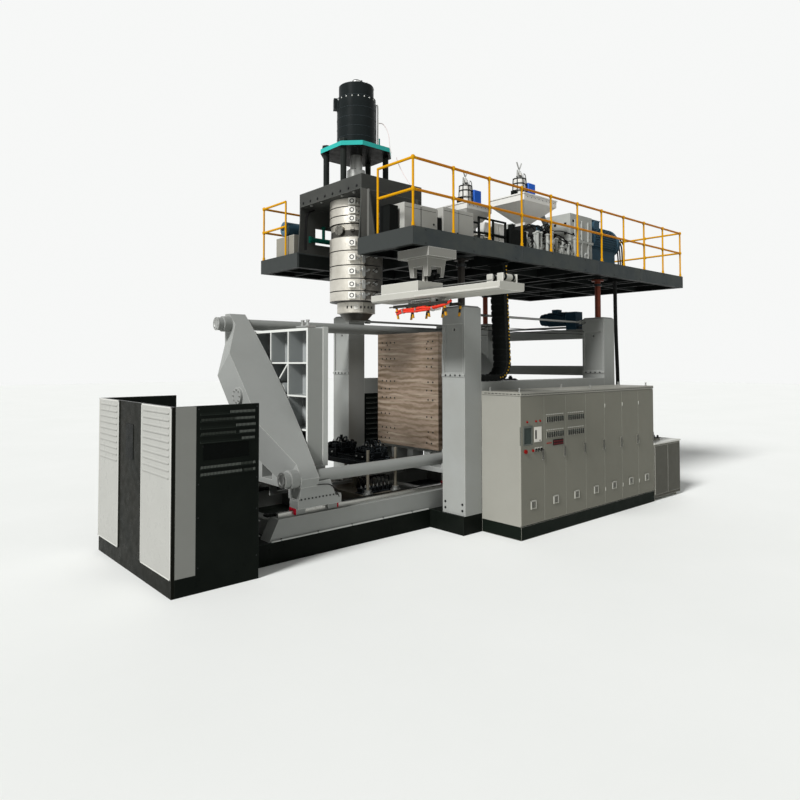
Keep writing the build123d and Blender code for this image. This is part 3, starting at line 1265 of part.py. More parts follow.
def cylinder_flange():
    """Clipped-corner plate that carries the push-out cylinder on four stays."""
    body = prism_z(clipped_square(FLANGE_HALF_SIZE, FLANGE_CLIP), FLANGE_BOTTOM, FLANGE_TOP)
    body -= rod_z(FLANGE_BOTTOM - 1, FLANGE_TOP + 1, 0, 0, RAM_RADIUS + SHAFT_GAP)
    for x in (-STAY_X, STAY_X):
        for y in (-STAY_Y, STAY_Y):
            body -= rod_z(FLANGE_BOTTOM - 1, FLANGE_TOP + 1, x, y, STAY_RADIUS * 0.7)
    return body


def flange_stays():
    """Four round stays from the portal up to the flange, with a nut on top of each."""
    stays = []
    for x in (-STAY_X, STAY_X):
        for y in (-STAY_Y, STAY_Y):
            stay = rod_z(PORTAL_TOP, FLANGE_BOTTOM, x, y, STAY_RADIUS)
            stay += rod_z(FLANGE_BOTTOM - 1, FLANGE_TOP + 1, x, y, STAY_RADIUS * 0.7)
            stay += Pos(x, y, FLANGE_TOP) * extrude(RegularPolygon(STAY_NUT_RADIUS, 6), STAY_NUT_HEIGHT)
            stays.append(stay)
    return stays


def push_cylinder():
    """Push-out cylinder: barrel with bolts round it, stepped cap, top stub and side port block."""
    body = rod_z(FLANGE_TOP, PUSH_BARREL_STEP, 0, 0, PUSH_BARREL_RADIUS)
    body += rod_z(PUSH_BARREL_STEP - 1, PUSH_CAP_TOP, 0, 0, PUSH_CAP_RADIUS)
    body += rod_z(PUSH_CAP_TOP - 1, PUSH_STUB_TOP, 0, 0, PUSH_STUB_RADIUS)
    port = Pos(PUSH_BARREL_RADIUS + 10, 0, PUSH_BARREL_STEP - 90) * Box(110, 120, 190)
    body += Rot(0, 0, 150) * port
    body += rod_z(PUSH_CAP_TOP - 1, PUSH_CAP_TOP + 90, 170, -90, 38)
    body += rod_z(FLANGE_TOP, PUSH_BARREL_STEP, PUSH_BARREL_RADIUS + 30, -60, 34)
    body += block(PUSH_BARREL_RADIUS - 60, PUSH_BARREL_RADIUS + 30, -76, -44,
                  FLANGE_TOP + 40, FLANGE_TOP + 90)
    body += block(PUSH_BARREL_RADIUS - 60, PUSH_BARREL_RADIUS + 30, -76, -44,
                  PUSH_BARREL_STEP - 90, PUSH_BARREL_STEP - 40)
    return body - rod_z(FLANGE_TOP - 1, RAM_TOP + 60, 0, 0, RAM_RADIUS + ROD_GAP)


def push_ram():
    """Ram from the cylinder into the head, with the split coupling halfway."""
    body = rod_z(RAM_BOTTOM, RAM_TOP, 0, 0, RAM_RADIUS)
    return body + rod_z(RAM_COUPLING_BOTTOM, RAM_COUPLING_BOTTOM + RAM_COUPLING_HEIGHT, 0, 0,
                        RAM_COUPLING_RADIUS)


# Extruders

def banded_barrel(x0, x1, y):
    """Extruder barrel with heater bands and a flange at its outlet."""
    z = SCREW_AXIS_Z
    body = rod_x(x0, x1, y, z, BARREL_RADIUS)
    body += rod_x(x0, x0 + 60, y, z, PORT_RADIUS)
    count = int((x1 - x0 - 140) // BAND_PITCH)
    for i in range(count):
        start = x0 + 100 + i * BAND_PITCH
        body += rod_x(start, start + BAND_LENGTH, y, z, BAND_RADIUS)
    return body


def extruder_barrels():
    """Middle barrel straight into the head, and side barrel with its bent melt pipe."""
    main_feed = MAIN_HOPPER_X - FEED_SIZE / 2
    side_feed = SIDE_HOPPER_X - FEED_SIZE / 2
    main = banded_barrel(PORT_FACE, main_feed, 0)
    main += feed_block(MAIN_HOPPER_X, 0, MAIN_GEARBOX_X)
    side = banded_barrel(SIDE_BARREL_START, side_feed, SIDE_EXTRUDER_Y)
    side += feed_block(SIDE_HOPPER_X, SIDE_EXTRUDER_Y, SIDE_GEARBOX_X)
    reach = PORT_FACE / math.sqrt(2)
    corner = -SIDE_EXTRUDER_Y
    z = SCREW_AXIS_Z
    path = FilletPolyline((reach, -reach, z), (corner, SIDE_EXTRUDER_Y, z),
                          (SIDE_BARREL_START + 1, SIDE_EXTRUDER_Y, z), radius=300)
    pipe = sweep(Plane(origin=path @ 0, z_dir=path % 0) * Circle(62), path=path)
    side += pipe
    side += Rot(0, 0, -45) * rod_x(PORT_FACE, PORT_FACE + 50, 0, z, PORT_RADIUS)
    return [main, side]


def feed_block(x, y, gearbox_x):
    """Feed housing on the deck under a hopper, and the lantern between it and the gearbox."""
    half = FEED_SIZE / 2
    body = block(x - half, x + half, y - half, y + half, PLATFORM_TOP, FEED_TOP)
    return body + rod_x(x + half - 1, gearbox_x, y, SCREW_AXIS_Z, BAND_RADIUS + 30)


def gearbox(x, y, length, half_width, top):
    """Cast gearbox with a split flange, side ribs and an inspection cover."""
    body = block(x, x + length, y - half_width, y + half_width, PLATFORM_TOP, top)
    split = (PLATFORM_TOP + top) / 2
    lip = half_width + 25
    body += block(x - 20, x + length + 20, y - lip, y + lip, split - 25, split + 25)
    body += block(x - 30, x + length + 30, y - half_width - 40, y + half_width + 40,
                  PLATFORM_TOP, PLATFORM_TOP + 40)
    for i in range(3):
        rib = x + length * (0.2 + 0.3 * i)
        body += block(rib - 15, rib + 15, y - lip, y + lip, PLATFORM_TOP, top - 120)
    cover = min(length, 2 * half_width) * 0.35
    return body + rod_z(top - 1, top + 30, x + length / 2, y, cover)


def gearboxes():
    """Gearboxes of the middle and the side extruder."""
    return [gearbox(MAIN_GEARBOX_X, 0, MAIN_GEARBOX_LENGTH, MAIN_GEARBOX_HALF_WIDTH, MAIN_GEARBOX_TOP),
            gearbox(SIDE_GEARBOX_X, SIDE_EXTRUDER_Y, SIDE_GEARBOX_LENGTH, SIDE_GEARBOX_HALF_WIDTH,
                    SIDE_GEARBOX_TOP)]


def drive_motor(x, y, radius):
    """Motor with end bells, a foot rail, a terminal box and a blower on top."""
    z = MOTOR_AXIS_Z
    body = rod_x(x, x + MOTOR_LENGTH, y, z, radius)
    body += rod_x(x + MOTOR_LENGTH - 1, x + MOTOR_LENGTH + 130, y, z, radius * 0.86)
    body += rod_x(x + MOTOR_LENGTH * 0.06, x + MOTOR_LENGTH * 0.12, y, z, radius + 18)
    body += rod_x(x + MOTOR_LENGTH * 0.88, x + MOTOR_LENGTH * 0.94, y, z, radius + 18)
    foot = radius * 0.8
    blower = radius * 0.55
    body += block(x + 80, x + MOTOR_LENGTH - 80, y - foot, y + foot, PLATFORM_TOP, z - radius * 0.5)
    body += block(x + 120, x + 560, y - blower, y + blower, z + radius * 0.7, z + radius + 120)
    body += rod_y(y - radius * 0.55 - 60, y - radius * 0.55 + 1, x + 340, z + radius, 110)
    return body


def drive_motors():
    """Motors of the two extruders, and the small pump motor on the far arm of the platform."""
    main = drive_motor(MAIN_GEARBOX_X + MAIN_GEARBOX_LENGTH + 30, 0, MAIN_MOTOR_RADIUS)
    side = drive_motor(SIDE_GEARBOX_X + SIDE_GEARBOX_LENGTH + 30, SIDE_EXTRUDER_Y, SIDE_MOTOR_RADIUS)
    y = PUMP_BOX_Y + PUMP_BOX_DEPTH / 2
    z = PLATFORM_TOP + PUMP_BOX_HEIGHT + PUMP_MOTOR_RADIUS + 20
    pump = rod_x(PUMP_BOX_X + 10, PUMP_BOX_X + PUMP_BOX_LENGTH + 30, y, z, PUMP_MOTOR_RADIUS)
    pump += block(PUMP_BOX_X + 60, PUMP_BOX_X + PUMP_BOX_LENGTH - 60, y - 90, y + 90,
                  PLATFORM_TOP + PUMP_BOX_HEIGHT, z)
    return [main, side, pump]


def hopper(x, y, size):
    """Square hopper with a tapered lower half, a rim, a flat lid and a vacuum loader on the lid."""
    neck = FEED_TOP + 70
    cone_top = neck + HOPPER_CONE
    rim_top = cone_top + HOPPER_RIM
    depth = size * 0.8
    half_neck = HOPPER_NECK / 2
    body = block(x - half_neck, x + half_neck, y - half_neck, y + half_neck, FEED_TOP, neck + 1)
    low = Pos(x, y, neck) * Rectangle(HOPPER_NECK, HOPPER_NECK)
    high = Pos(x, y, cone_top) * Rectangle(size, depth)
    body += loft([low, high])
    body += block(x - size / 2, x + size / 2, y - depth / 2, y + depth / 2, cone_top - 1, rim_top)
    body += block(x - size / 2 - 15, x + size / 2 + 15, y - depth / 2 - 15, y + depth / 2 + 15,
                  rim_top - 25, rim_top)
    top = rim_top + LOADER_HEIGHT
    left = x - size * 0.12
    body += rod_z(rim_top - 1, top, left, y, LOADER_RADIUS)
    body += rod_z(rim_top + 150, rim_top + 175, left, y, LOADER_RADIUS + 18)
    body += rod_z(top - 1, top + 110, left, y, LOADER_RADIUS * 0.45)
    box_x = left + LOADER_RADIUS
    body += block(box_x - 20, box_x + 170, y - 95, y + 95, rim_top - 1, rim_top + 290)
    return body


def hoppers():
    """Hoppers of the middle and the side extruder."""
    return [hopper(MAIN_HOPPER_X, 0, MAIN_HOPPER_SIZE),
            hopper(SIDE_HOPPER_X, SIDE_EXTRUDER_Y, SIDE_HOPPER_SIZE)]


def platform_cabinets():
    """Terminal cabinets along the near edge and the pump's box on the far arm."""
    far = BOX_NEAR_Y + BOX_DEPTH
    boxes = [block(x, x + BOX_SMALL_LENGTH, BOX_NEAR_Y, far,
                   PLATFORM_TOP, PLATFORM_TOP + BOX_SMALL_HEIGHT)
             for x in BOX_SMALL_X]
    boxes.append(block(BOX_LARGE_X, BOX_LARGE_X + BOX_LARGE_LENGTH, BOX_NEAR_Y, far, PLATFORM_TOP,
                       PLATFORM_TOP + BOX_LARGE_HEIGHT))
    boxes.append(block(PUMP_BOX_X, PUMP_BOX_X + PUMP_BOX_LENGTH, PUMP_BOX_Y, PUMP_BOX_Y + PUMP_BOX_DEPTH,
                       PLATFORM_TOP, PLATFORM_TOP + PUMP_BOX_HEIGHT))
    return boxes


# Take-out robot

def robot_bracket():
    """Bracket under the platform: top plate, tapered box on four legs, rods and slide housing."""
    x = (ROBOT_PLATE_LEFT + ROBOT_PLATE_RIGHT) / 2
    y = (ROBOT_PLATE_NEAR + ROBOT_PLATE_FAR) / 2
    plate_bottom = PLATFORM_BOTTOM - ROBOT_PLATE_THICKNESS
    body = block(ROBOT_PLATE_LEFT, ROBOT_PLATE_RIGHT, ROBOT_PLATE_NEAR, ROBOT_PLATE_FAR,
                 plate_bottom, PLATFORM_BOTTOM)
    low = Pos(x, y, ROBOT_BOX_BOTTOM) * Rectangle(2 * ROBOT_BOX_X, 2 * ROBOT_BOX_Y)
    high = Pos(x, y, plate_bottom + 1) * Rectangle(2 * (ROBOT_BOX_X + ROBOT_BOX_FLARE),
                                                   2 * (ROBOT_BOX_Y + ROBOT_BOX_FLARE))
    body += loft([low, high])
    arch_top = ROBOT_BOX_BOTTOM + ROBOT_ARCH_RISE
    wide = ROBOT_ARCH_SIDE
    for reach_x, reach_y in ((wide, ROBOT_BOX_Y + ROBOT_BOX_FLARE),
                             (ROBOT_BOX_X + ROBOT_BOX_FLARE, wide)):
        body -= block(x - reach_x, x + reach_x, y - reach_y, y + reach_y,
                      ROBOT_BOX_BOTTOM - 1, arch_top)
    for offset in (-ROBOT_ROD_PITCH, 0, ROBOT_ROD_PITCH):
        body += rod_z(ROBOT_HOUSING_TOP - 1, arch_top + 1, x + offset, y, ROBOT_ROD_RADIUS)
        body += rod_z(ROBOT_HOUSING_TOP - 1, ROBOT_HOUSING_TOP + 30, x + offset, y,
                      ROBOT_ROD_RADIUS * 1.4)
    body += block(ROBOT_X - ROBOT_BEAM_HALF_X, ROBOT_X + ROBOT_BEAM_HALF_X, ROBOT_HOUSING_NEAR,
                  ROBOT_HOUSING_FAR, ROBOT_BEAM_TOP + RUN_GAP, ROBOT_HOUSING_TOP)
    return body


def robot_beam():
    """Long take-out beam that slides through the housing, with end rollers and a gripper way."""
    x = ROBOT_X
    half = ROBOT_BEAM_HALF_X
    body = block(x - half, x + half, ROBOT_BEAM_NEAR, ROBOT_BEAM_FAR, ROBOT_BEAM_BOTTOM, ROBOT_BEAM_TOP)
    body = chamfer(body.edges().filter_by(Axis.Y).group_by(Axis.Z)[0], 20)
    body += block(x - half - ROBOT_LIP, x - half + 1, ROBOT_BEAM_NEAR, GRIPPER_Y, ROBOT_BEAM_BOTTOM + 20,
                  ROBOT_BEAM_BOTTOM + 20 + ROBOT_LIP)
    for offset in (80, 260):
        y = ROBOT_BEAM_NEAR + offset
        body += block(x - 90, x + 90, y - 12, y + 12, ROBOT_BEAM_TOP - 1, ROBOT_BEAM_TOP + 60)
        body += rod_x(x - 130, x + 130, y, ROBOT_BEAM_TOP + 75, 45)
    return body


def robot_gripper():
    """Gripper carriage under the beam with two jaw shafts and the air cylinder between them."""
    x = ROBOT_X
    top = ROBOT_BEAM_BOTTOM - GRIPPER_TOP_GAP
    bottom = top - GRIPPER_HEIGHT
    y0 = GRIPPER_Y - GRIPPER_LENGTH / 2
    y1 = GRIPPER_Y + GRIPPER_LENGTH / 2
    body = block(x - GRIPPER_HALF_X, x + GRIPPER_HALF_X, y0, y1, top - 45, top)
    for y in (y0 + 40, y1 - 70):
        body += block(x - GRIPPER_EAR_HALF_X, x + GRIPPER_EAR_HALF_X, y, y + 30, bottom - 20, top - 44)
    body += rod_y(y0 - 40, y1 + 40, x, top - 70, 30)
    for side in (-1, 1):
        body -= rod_y(y0, y1, x + side * JAW_SHAFT_X, bottom + 20, JAW_SHAFT_RADIUS + SHAFT_GAP)
    body += rod_y(y1 + 39, y1 + 600, x, top - 70, 12)
    return body


def gripper_jaw(side):
    """Jaw: a shaft in the gripper's ears, a long bar and slanted fingers below it."""
    x = ROBOT_X + side * JAW_SHAFT_X
    top = ROBOT_BEAM_BOTTOM - GRIPPER_TOP_GAP
    z = top - GRIPPER_HEIGHT + 20
    y0 = GRIPPER_Y - JAW_LENGTH / 2
    y1 = GRIPPER_Y + JAW_LENGTH / 2
    body = rod_y(y0, y1, x, z, JAW_SHAFT_RADIUS)
    bar_x = x + side * JAW_BAR_OFFSET
    for y in (y0 + 10, y1 - 40):
        body += block(x, bar_x, y, y + 30, z - 10, z + 10)
    body += block(bar_x - 18, bar_x + 18, y0, y1, z - 22, z + 22)
    step = (JAW_LENGTH - 120) / (FINGER_COUNT - 1)
    for i in range(FINGER_COUNT):
        y = y0 + 60 + i * step
        finger = [(bar_x - 12, z), (bar_x + 12, z), (bar_x - side * 40 + 12, z - FINGER_LENGTH),
                  (bar_x - side * 40 - 12, z - FINGER_LENGTH)]
        body += prism_y(finger, y - 14, y + 14)
    return body


# Energy chain and service hose

def chain_route():
    """Centre line of the chain in X and Z, from the platform down and round to the left column."""
    bend = CHAIN_BEND_RADIUS
    low = SIDE_BEAM_TOP + CHAIN_HEIGHT / 2 + 4
    left = COLUMN_LEFT_X + COLUMN_X_SIZE / 2 + CHAIN_BRACKET
    foot = CHAIN_X + CHAIN_LEAN
    top = PLATFORM_BOTTOM - CHAIN_BRACKET
    return FilletPolyline((CHAIN_X, 0, top), (foot, 0, low), (left, 0, low), radius=bend)


def chain_link(middle, direction, length):
    """Link of two side plates and two cross bars, lying along the direction."""
    tilt = math.degrees(math.atan2(direction.Z, direction.X))
    half_width = CHAIN_WIDTH / 2
    half_height = CHAIN_HEIGHT / 2
    half = length / 2
    corner = half * 0.45
    side = [(-half, -half_height + corner), (-half + corner, -half_height), (half - corner, -half_height),
            (half, -half_height + corner), (half, half_height - corner), (half - corner, half_height),
            (-half + corner, half_height), (-half, half_height - corner)]
    body = prism_y(side, -half_width, -half_width + CHAIN_PLATE)
    body += prism_y(side, half_width - CHAIN_PLATE, half_width)
    for z in (-half_height + 12, half_height - 24):
        reach = half * CHAIN_BAR_SHARE
        body += block(-reach, reach, -half_width + 1, half_width - 1, z, z + 12)
    return Pos(middle.X, CHAIN_Y, middle.Z) * Rot(0, -tilt, 0) * body


def energy_chain():
    """Energy chain of hinged links, clamped to the platform above and to the left column below."""
    route = chain_route()
    count = round(route.length / CHAIN_PITCH)
    pitch = route.length / count
    half = CHAIN_WIDTH / 2
    left = COLUMN_LEFT_X + COLUMN_X_SIZE / 2
    body = block(CHAIN_X - 90, CHAIN_X + 90, CHAIN_Y - half, CHAIN_Y + half,
                 PLATFORM_BOTTOM - CHAIN_BRACKET - 6, PLATFORM_BOTTOM - RUN_GAP)
    body += block(left, left + CHAIN_BRACKET + 6, CHAIN_Y - half, CHAIN_Y + half,
                  SIDE_BEAM_TOP, SIDE_BEAM_TOP + CHAIN_HEIGHT)
    for i in range(count):
        along = (i + 0.5) / count
        body += chain_link(route @ along, route % along, pitch + CHAIN_LAP)
    return body


def service_hose():
    """Service hose from the platform down into the elbow on the low cabinet's back."""
    points = [(HOSE_X - 55, HOSE_Y, PLATFORM_BOTTOM - RUN_GAP), (HOSE_X - 55, HOSE_Y, 3880),
              (HOSE_X - 20, HOSE_Y + 5, 3150), (HOSE_X + 28, HOSE_Y + 5, 2380),
              (HOSE_X, HOSE_Y, 1620), (HOSE_X, HOSE_Y, HOSE_ENTRY_Z)]
    vectors = [Vector(*point) for point in points]
    radii = []
    for before, here, after in zip(vectors, vectors[1:], vectors[2:]):
        turn = (here - before).get_angle(after - here)
        run = min((here - before).length, (after - here).length)
        radii.append(0.45 * run / math.tan(math.radians(turn) / 2))
    print("service hose radii", [round(radius) for radius in radii])
    path = FilletPolyline(*points, radius=radii)
    return sweep(Plane(origin=path @ 0, z_dir=path % 0) * Circle(HOSE_RADIUS), path=path)


# Every node, by name

NODES = {
    "base_sections": base_frame(),
    "cross_sills": [cross_sill(x) for x in COLUMN_X.values()],
    "bed_frame": bed_frame(),
    "guide_rails": guide_rails(),
    "side_beams": side_beams(),
    "end_beams": end_beams(),
    "lift_motor": lift_motor(),
    "lift_shaft_near": lift_shaft_x(COLUMN_NEAR_Y),
    "lift_shaft_far": lift_shaft_x(COLUMN_FAR_Y),
    "lift_shaft_end": lift_shaft_end(),
    "lift_screws": lift_screws(),
    "clamp_beam": clamp_beam(),
    "tie_bars": tie_bars(),
    "left_carriage": left_carriage(),
    "left_platen": platen(-1),
    "tail_beam": tail_beam(),
    "clamp_cylinder": clamp_cylinder(),
    "right_carriage": right_carriage(),
    "right_platen": platen(1),
    "clamp_rod": clamp_rod(),
    "sync_pinion": sync_pinion(),
    "blow_unit_base": blow_unit_base(),
    "blow_table": blow_table(),
    "spreader_near": spreader(-1),
    "spreader_far": spreader(1),
    "guard_end_panel": guard_end_panel(),
    "guard_near_wing": guard_wing(GUARD_NEAR_Y, -1),
    "guard_far_wing": guard_wing(GUARD_FAR_Y, 1),
    "rear_louvre_guard": rear_louvre_guard(),
    "control_cabinet": control_cabinet(),
    "cabinet_door_operator": operator_door(),
    "cabinet_door_heating": controller_door(1),
    "stop_button": push_button(STOP_X_OFFSET, STOP_RADIUS),
    "start_button": push_button(START_X_OFFSET, BUTTON_RADIUS),
    "low_cabinet": low_cabinet(),
    "platform_frame": platform_frame(),
    "guardrail": guardrail(),
    "head_portal": head_portal(),
    "portal_walls": portal_walls(),
    "accumulator_head": accumulator_head(),
    "cylinder_flange": cylinder_flange(),
    "flange_stays": flange_stays(),
    "push_cylinder": push_cylinder(),
    "push_ram": push_ram(),
    "extruder_barrels": extruder_barrels(),
    "gearboxes": gearboxes(),
    "drive_motors": drive_motors(),
    "hoppers": hoppers(),
    "platform_cabinets": platform_cabinets(),
    "robot_bracket": robot_bracket(),
    "robot_beam": robot_beam(),
    "robot_gripper": robot_gripper(),
    "gripper_jaw_left": gripper_jaw(-1),
    "gripper_jaw_right": gripper_jaw(1),
    "energy_chain": energy_chain(),
    "service_hose": service_hose(),
}
for side_name, column_x in COLUMN_X.items():
    for depth_name, column_y in COLUMN_Y.items():
        NODES[f"column_{depth_name}_{side_name}"] = column(column_x, column_y, side_name)

os.makedirs("parts", exist_ok=True)
for name, shape in NODES.items():
    solids = shape if isinstance(shape, list) else [shape]
    compound = Compound(children=[solid for item in solids for solid in item.solids()])
    export_step(compound, f"parts/{name}.step")
print(len(NODES), "nodes")
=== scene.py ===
"""Accumulator-head blow moulding machine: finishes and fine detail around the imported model.

Places and boxes are in metres; turned profiles, the radii of pipes and broken edges are in millimetres.
"""
from itertools import product

import bpy
import numpy as np
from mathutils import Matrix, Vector


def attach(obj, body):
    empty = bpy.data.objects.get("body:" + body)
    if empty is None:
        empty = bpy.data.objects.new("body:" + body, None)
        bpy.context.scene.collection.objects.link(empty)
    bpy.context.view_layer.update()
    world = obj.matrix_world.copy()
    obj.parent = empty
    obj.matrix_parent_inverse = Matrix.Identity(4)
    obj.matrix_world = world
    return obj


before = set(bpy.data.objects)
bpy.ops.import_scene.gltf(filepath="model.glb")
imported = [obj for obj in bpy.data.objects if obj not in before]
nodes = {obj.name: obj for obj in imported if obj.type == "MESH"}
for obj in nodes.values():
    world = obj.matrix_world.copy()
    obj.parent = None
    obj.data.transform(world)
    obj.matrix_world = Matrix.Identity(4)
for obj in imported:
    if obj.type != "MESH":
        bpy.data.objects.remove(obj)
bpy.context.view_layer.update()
scene = bpy.context.scene

# -------- camera, light, floor
# Seen from where the photographer stood: left of the operator's side, 2.8 m up, with a wide lens. The
# surroundings are a white studio; a soft key light comes from the left, weak ones from front and behind.
camera = bpy.data.objects.new("camera", bpy.data.cameras.new("camera"))
scene.collection.objects.link(camera)
scene.camera = camera
camera.location = (-6.94, -8.912, 2.783)
camera.rotation_euler = np.radians((91.68, 0.07, -41.38))
camera.data.lens = 28.8
camera.data.sensor_width = 36
camera.data.shift_x = 0.00625
camera.data.shift_y = -0.07125
scene.view_settings.view_transform = "Standard"


def linear(code):
    """sRGB hex colour as linear RGBA: each channel c becomes ((c + 0.055) / 1.055) to the power 2.4."""
    c = np.array([int(code[i:i + 2], 16) for i in (0, 2, 4)]) / 255
    return (*np.where(c <= 0.04045, c / 12.92, ((c + 0.055) / 1.055) ** 2.4), 1.0)


def add(tree, kind, settings=None, **inputs):
    """Adds a shader node; inputs are values, hex colours, sockets or nodes, keyed by name or as i0, i1."""
    made = tree.nodes.new("ShaderNode" + kind)
    for key, value in (settings or {}).items():
        setattr(made, key, value)
    for key, value in inputs.items():
        index = int(key[1:]) if key[0] == "i" and key[1:].isdigit() else key.replace("_", " ")
        if isinstance(value, bpy.types.Node):
            value = value.outputs[0]
        elif isinstance(value, str):
            value = linear(value)
        if isinstance(value, bpy.types.NodeSocket):
            tree.links.new(value, made.inputs[index])
        else:
            made.inputs[index].default_value = value
    return made


def wire(tree, shader, **nodes):
    """Links each node's first output to the shader's input of that name."""
    for key, node in nodes.items():
        tree.links.new(node.outputs[0], shader.inputs[key.replace("_", " ")])


world = bpy.data.worlds.new("studio")
scene.world = world
world.use_nodes = True
sky = world.node_tree
sky.nodes.clear()
ray = add(sky, "LightPath").outputs
glossy = add(sky, "Math", {"operation": "MAXIMUM"}, i0=ray["Is Glossy Ray"], i1=ray["Is Transmission Ray"])
seen = add(sky, "Math", {"operation": "MAXIMUM"}, i0=ray["Is Camera Ray"], i1=glossy)
soft = add(sky, "Background", Color="F4F6F4", Strength=0.23)
plain = add(sky, "Background", Color="FAFBFA", Strength=0.97)
both = add(sky, "MixShader", Fac=seen, i1=soft, i2=plain)
add(sky, "OutputWorld", Surface=both)


def lamp(name, toward, strength, angle):
    """Soft distant light that shines along the vector."""
    light = bpy.data.objects.new(name, bpy.data.lights.new(name, "SUN"))
    scene.collection.objects.link(light)
    light.data.energy = strength
    light.data.angle = np.radians(angle)
    light.rotation_mode = "QUATERNION"
    light.rotation_quaternion = Vector(toward).to_track_quat("-Z", "Y")


lamp("key", (0.8, 0.14, -0.6), 3.8, 14)
lamp("fill", (-0.65, -0.6, -0.45), 0.3, 60)
lamp("front", (0.1, 0.9, -0.45), 0.2, 60)


def matter(name, metallic=0.0, roughness=0.5, coat=0.0):
    """A new material: its node tree, its shader and the object's own coordinates."""
    made = bpy.data.materials.new(name)
    made.use_nodes = True
    tree = made.node_tree
    shader = tree.nodes["Principled BSDF"]
    shader.inputs["Metallic"].default_value = metallic
    shader.inputs["Roughness"].default_value = roughness
    shader.inputs["Coat Weight"].default_value = coat
    return made, tree, shader, add(tree, "TexCoord").outputs["Object"]


# Trowelled concrete, pale: a broad mottle and nothing else.
concrete, tree, shader, where = matter("pale_concrete", roughness=0.8)
mottle = add(tree, "TexNoise", Vector=where, Scale=0.35, Detail=6.0, Roughness=0.6)
tone = add(tree, "MixRGB", Fac=mottle, Color1="ECEEEB", Color2="F4F5F3")
wire(tree, shader, Base_Color=tone)
bpy.ops.mesh.primitive_plane_add(size=160, location=(2, -0.3, -0.002))
floor = bpy.context.object
floor.name = "floor"
floor.data.materials.append(concrete)

# -------- base and bed
# Welded black base boxes carry a grey ladder bed, levelled on jack screws, with a light sheet lip under
# it. Folded black covers lie beside the rails and keep flash and scrap off them.


def region(tree, where, spans):
    """1 inside a box of the object's own coordinates, else 0: a product of one test for each axis named."""
    split = add(tree, "SeparateXYZ", Vector=where)
    inside = None
    for axis, low, high in zip(spans[::3], spans[1::3], spans[2::3]):
        test = add(tree, "Math", {"operation": "COMPARE"}, i0=split.outputs[axis.upper()],
                   i1=(low + high) / 2, i2=(high - low) / 2)
        inside = add(tree, "Math", {"operation": "MULTIPLY"}, i0=inside, i1=test) if inside else test
    return inside


def masked(tree, where, colour, areas):
    """Colours laid over each other: an area (hex, axis, low, high ...) covers its box, 12% mottled."""
    # The areas hold other paint and also painted shade; the same noise mottles them all.
    area_mottle = add(tree, "TexNoise", Vector=where, Scale=2.3, Detail=5.0, Roughness=0.6) if areas else None
    for tint, *spans in areas:
        mottled_tint = add(tree, "MixRGB", {"blend_type": "MULTIPLY"}, Fac=0.12, Color1=tint, Color2=area_mottle)
        colour = add(tree, "MixRGB", Fac=region(tree, where, spans), Color1=colour, Color2=mottled_tint)
    return colour


def enamel(name, code, dust, rough=0.42, spread=0.5, coat=0.0, edge=None, areas=()):
    """Sprayed paint: its colour turns a little towards dust in broad patches, with 6 mm orange peel.

    With an edge colour, the last 12 mm before a sharp corner turn to it: a painted highlight where the
    edges catch the light, and paint worn thin there. An area (colour, axis, low, high ...) covers its box
    in that colour: some areas are paint of another colour, some are painted shade. The paint mirrors
    little, or the white surroundings would lay a grey veil over the blacks.
    """
    made, tree, shader, where = matter(name, roughness=rough, coat=coat)
    shader.inputs["Specular IOR Level"].default_value = 0.03
    patch = add(tree, "TexNoise", Vector=where, Scale=1.3, Detail=5.0, Roughness=0.65)
    sharp = add(tree, "MapRange", Value=patch, i1=0.35, i2=0.75, i3=0.0, i4=spread)
    colour = add(tree, "MixRGB", Fac=sharp, Color1=code, Color2=dust)
    colour = masked(tree, where, colour, areas)
    if edge:
        # Sharp edges turn to the edge colour: painted highlight where they catch the light, and worn paint.
        soft_normal = add(tree, "Bevel", Radius=0.012)
        flat_normal = add(tree, "NewGeometry").outputs["Normal"]
        alike = add(tree, "VectorMath", {"operation": "DOT_PRODUCT"}, i0=soft_normal, i1=flat_normal)
        edge_highlight_and_wear = add(tree, "MapRange", Value=alike.outputs["Value"], i1=0.88, i2=0.995, i3=0.85, i4=0.0)
        colour = add(tree, "MixRGB", Fac=edge_highlight_and_wear, Color1=colour, Color2=edge)
    smear = add(tree, "TexNoise", Vector=where, Scale=9.0, Detail=4.0)
    gloss = add(tree, "MapRange", Value=smear, i1=0.3, i2=0.7, i3=rough - 0.07, i4=rough + 0.12)
    peel = add(tree, "TexNoise", Vector=where, Scale=160.0, Detail=1.0)
    bump = add(tree, "Bump", Height=peel, Strength=0.06, Distance=0.002)
    wire(tree, shader, Base_Color=colour, Roughness=gloss, Normal=bump)
    return made


def steel(name, code, stain, rough, grain=(1, 1, 1), metallic=0.85, areas=()):
    """Bare steel: lay lines stretched along the machining direction, and stains in patches."""
    made, tree, shader, where = matter(name, metallic=metallic, roughness=rough)
    stretch = add(tree, "Mapping", Vector=where, Scale=grain)
    lay = add(tree, "TexNoise", Vector=stretch, Scale=60.0, Detail=3.0)
    patch = add(tree, "TexNoise", Vector=stretch, Scale=2.1, Detail=6.0, Roughness=0.7)
    sharp = add(tree, "MapRange", Value=patch, i1=0.38, i2=0.7, i3=0.0, i4=0.6)
    colour = add(tree, "MixRGB", Fac=sharp, Color1=code, Color2=stain)
    colour = masked(tree, where, colour, areas)
    gloss = add(tree, "MapRange", Value=lay, i1=0.3, i2=0.7, i3=rough - 0.06, i4=rough + 0.14)
    bump = add(tree, "Bump", Height=lay, Strength=0.08, Distance=0.001)
    wire(tree, shader, Base_Color=colour, Roughness=gloss, Normal=bump)
    return made


def dress(material, *names):
    """Gives CAD nodes their material."""
    for name in names:
        nodes[name].data.materials.clear()
        nodes[name].data.materials.append(material)


def grid(*spans):
    """Every combination of the values given for x, y and z."""
    return list(product(*map(np.atleast_1d, spans)))


def boxes(size, *spans):
    """Rows for bars: a box of that size starts from each point of a grid."""
    return [np.stack([start, np.add(start, size)], 1).ravel() for start in grid(*spans)]


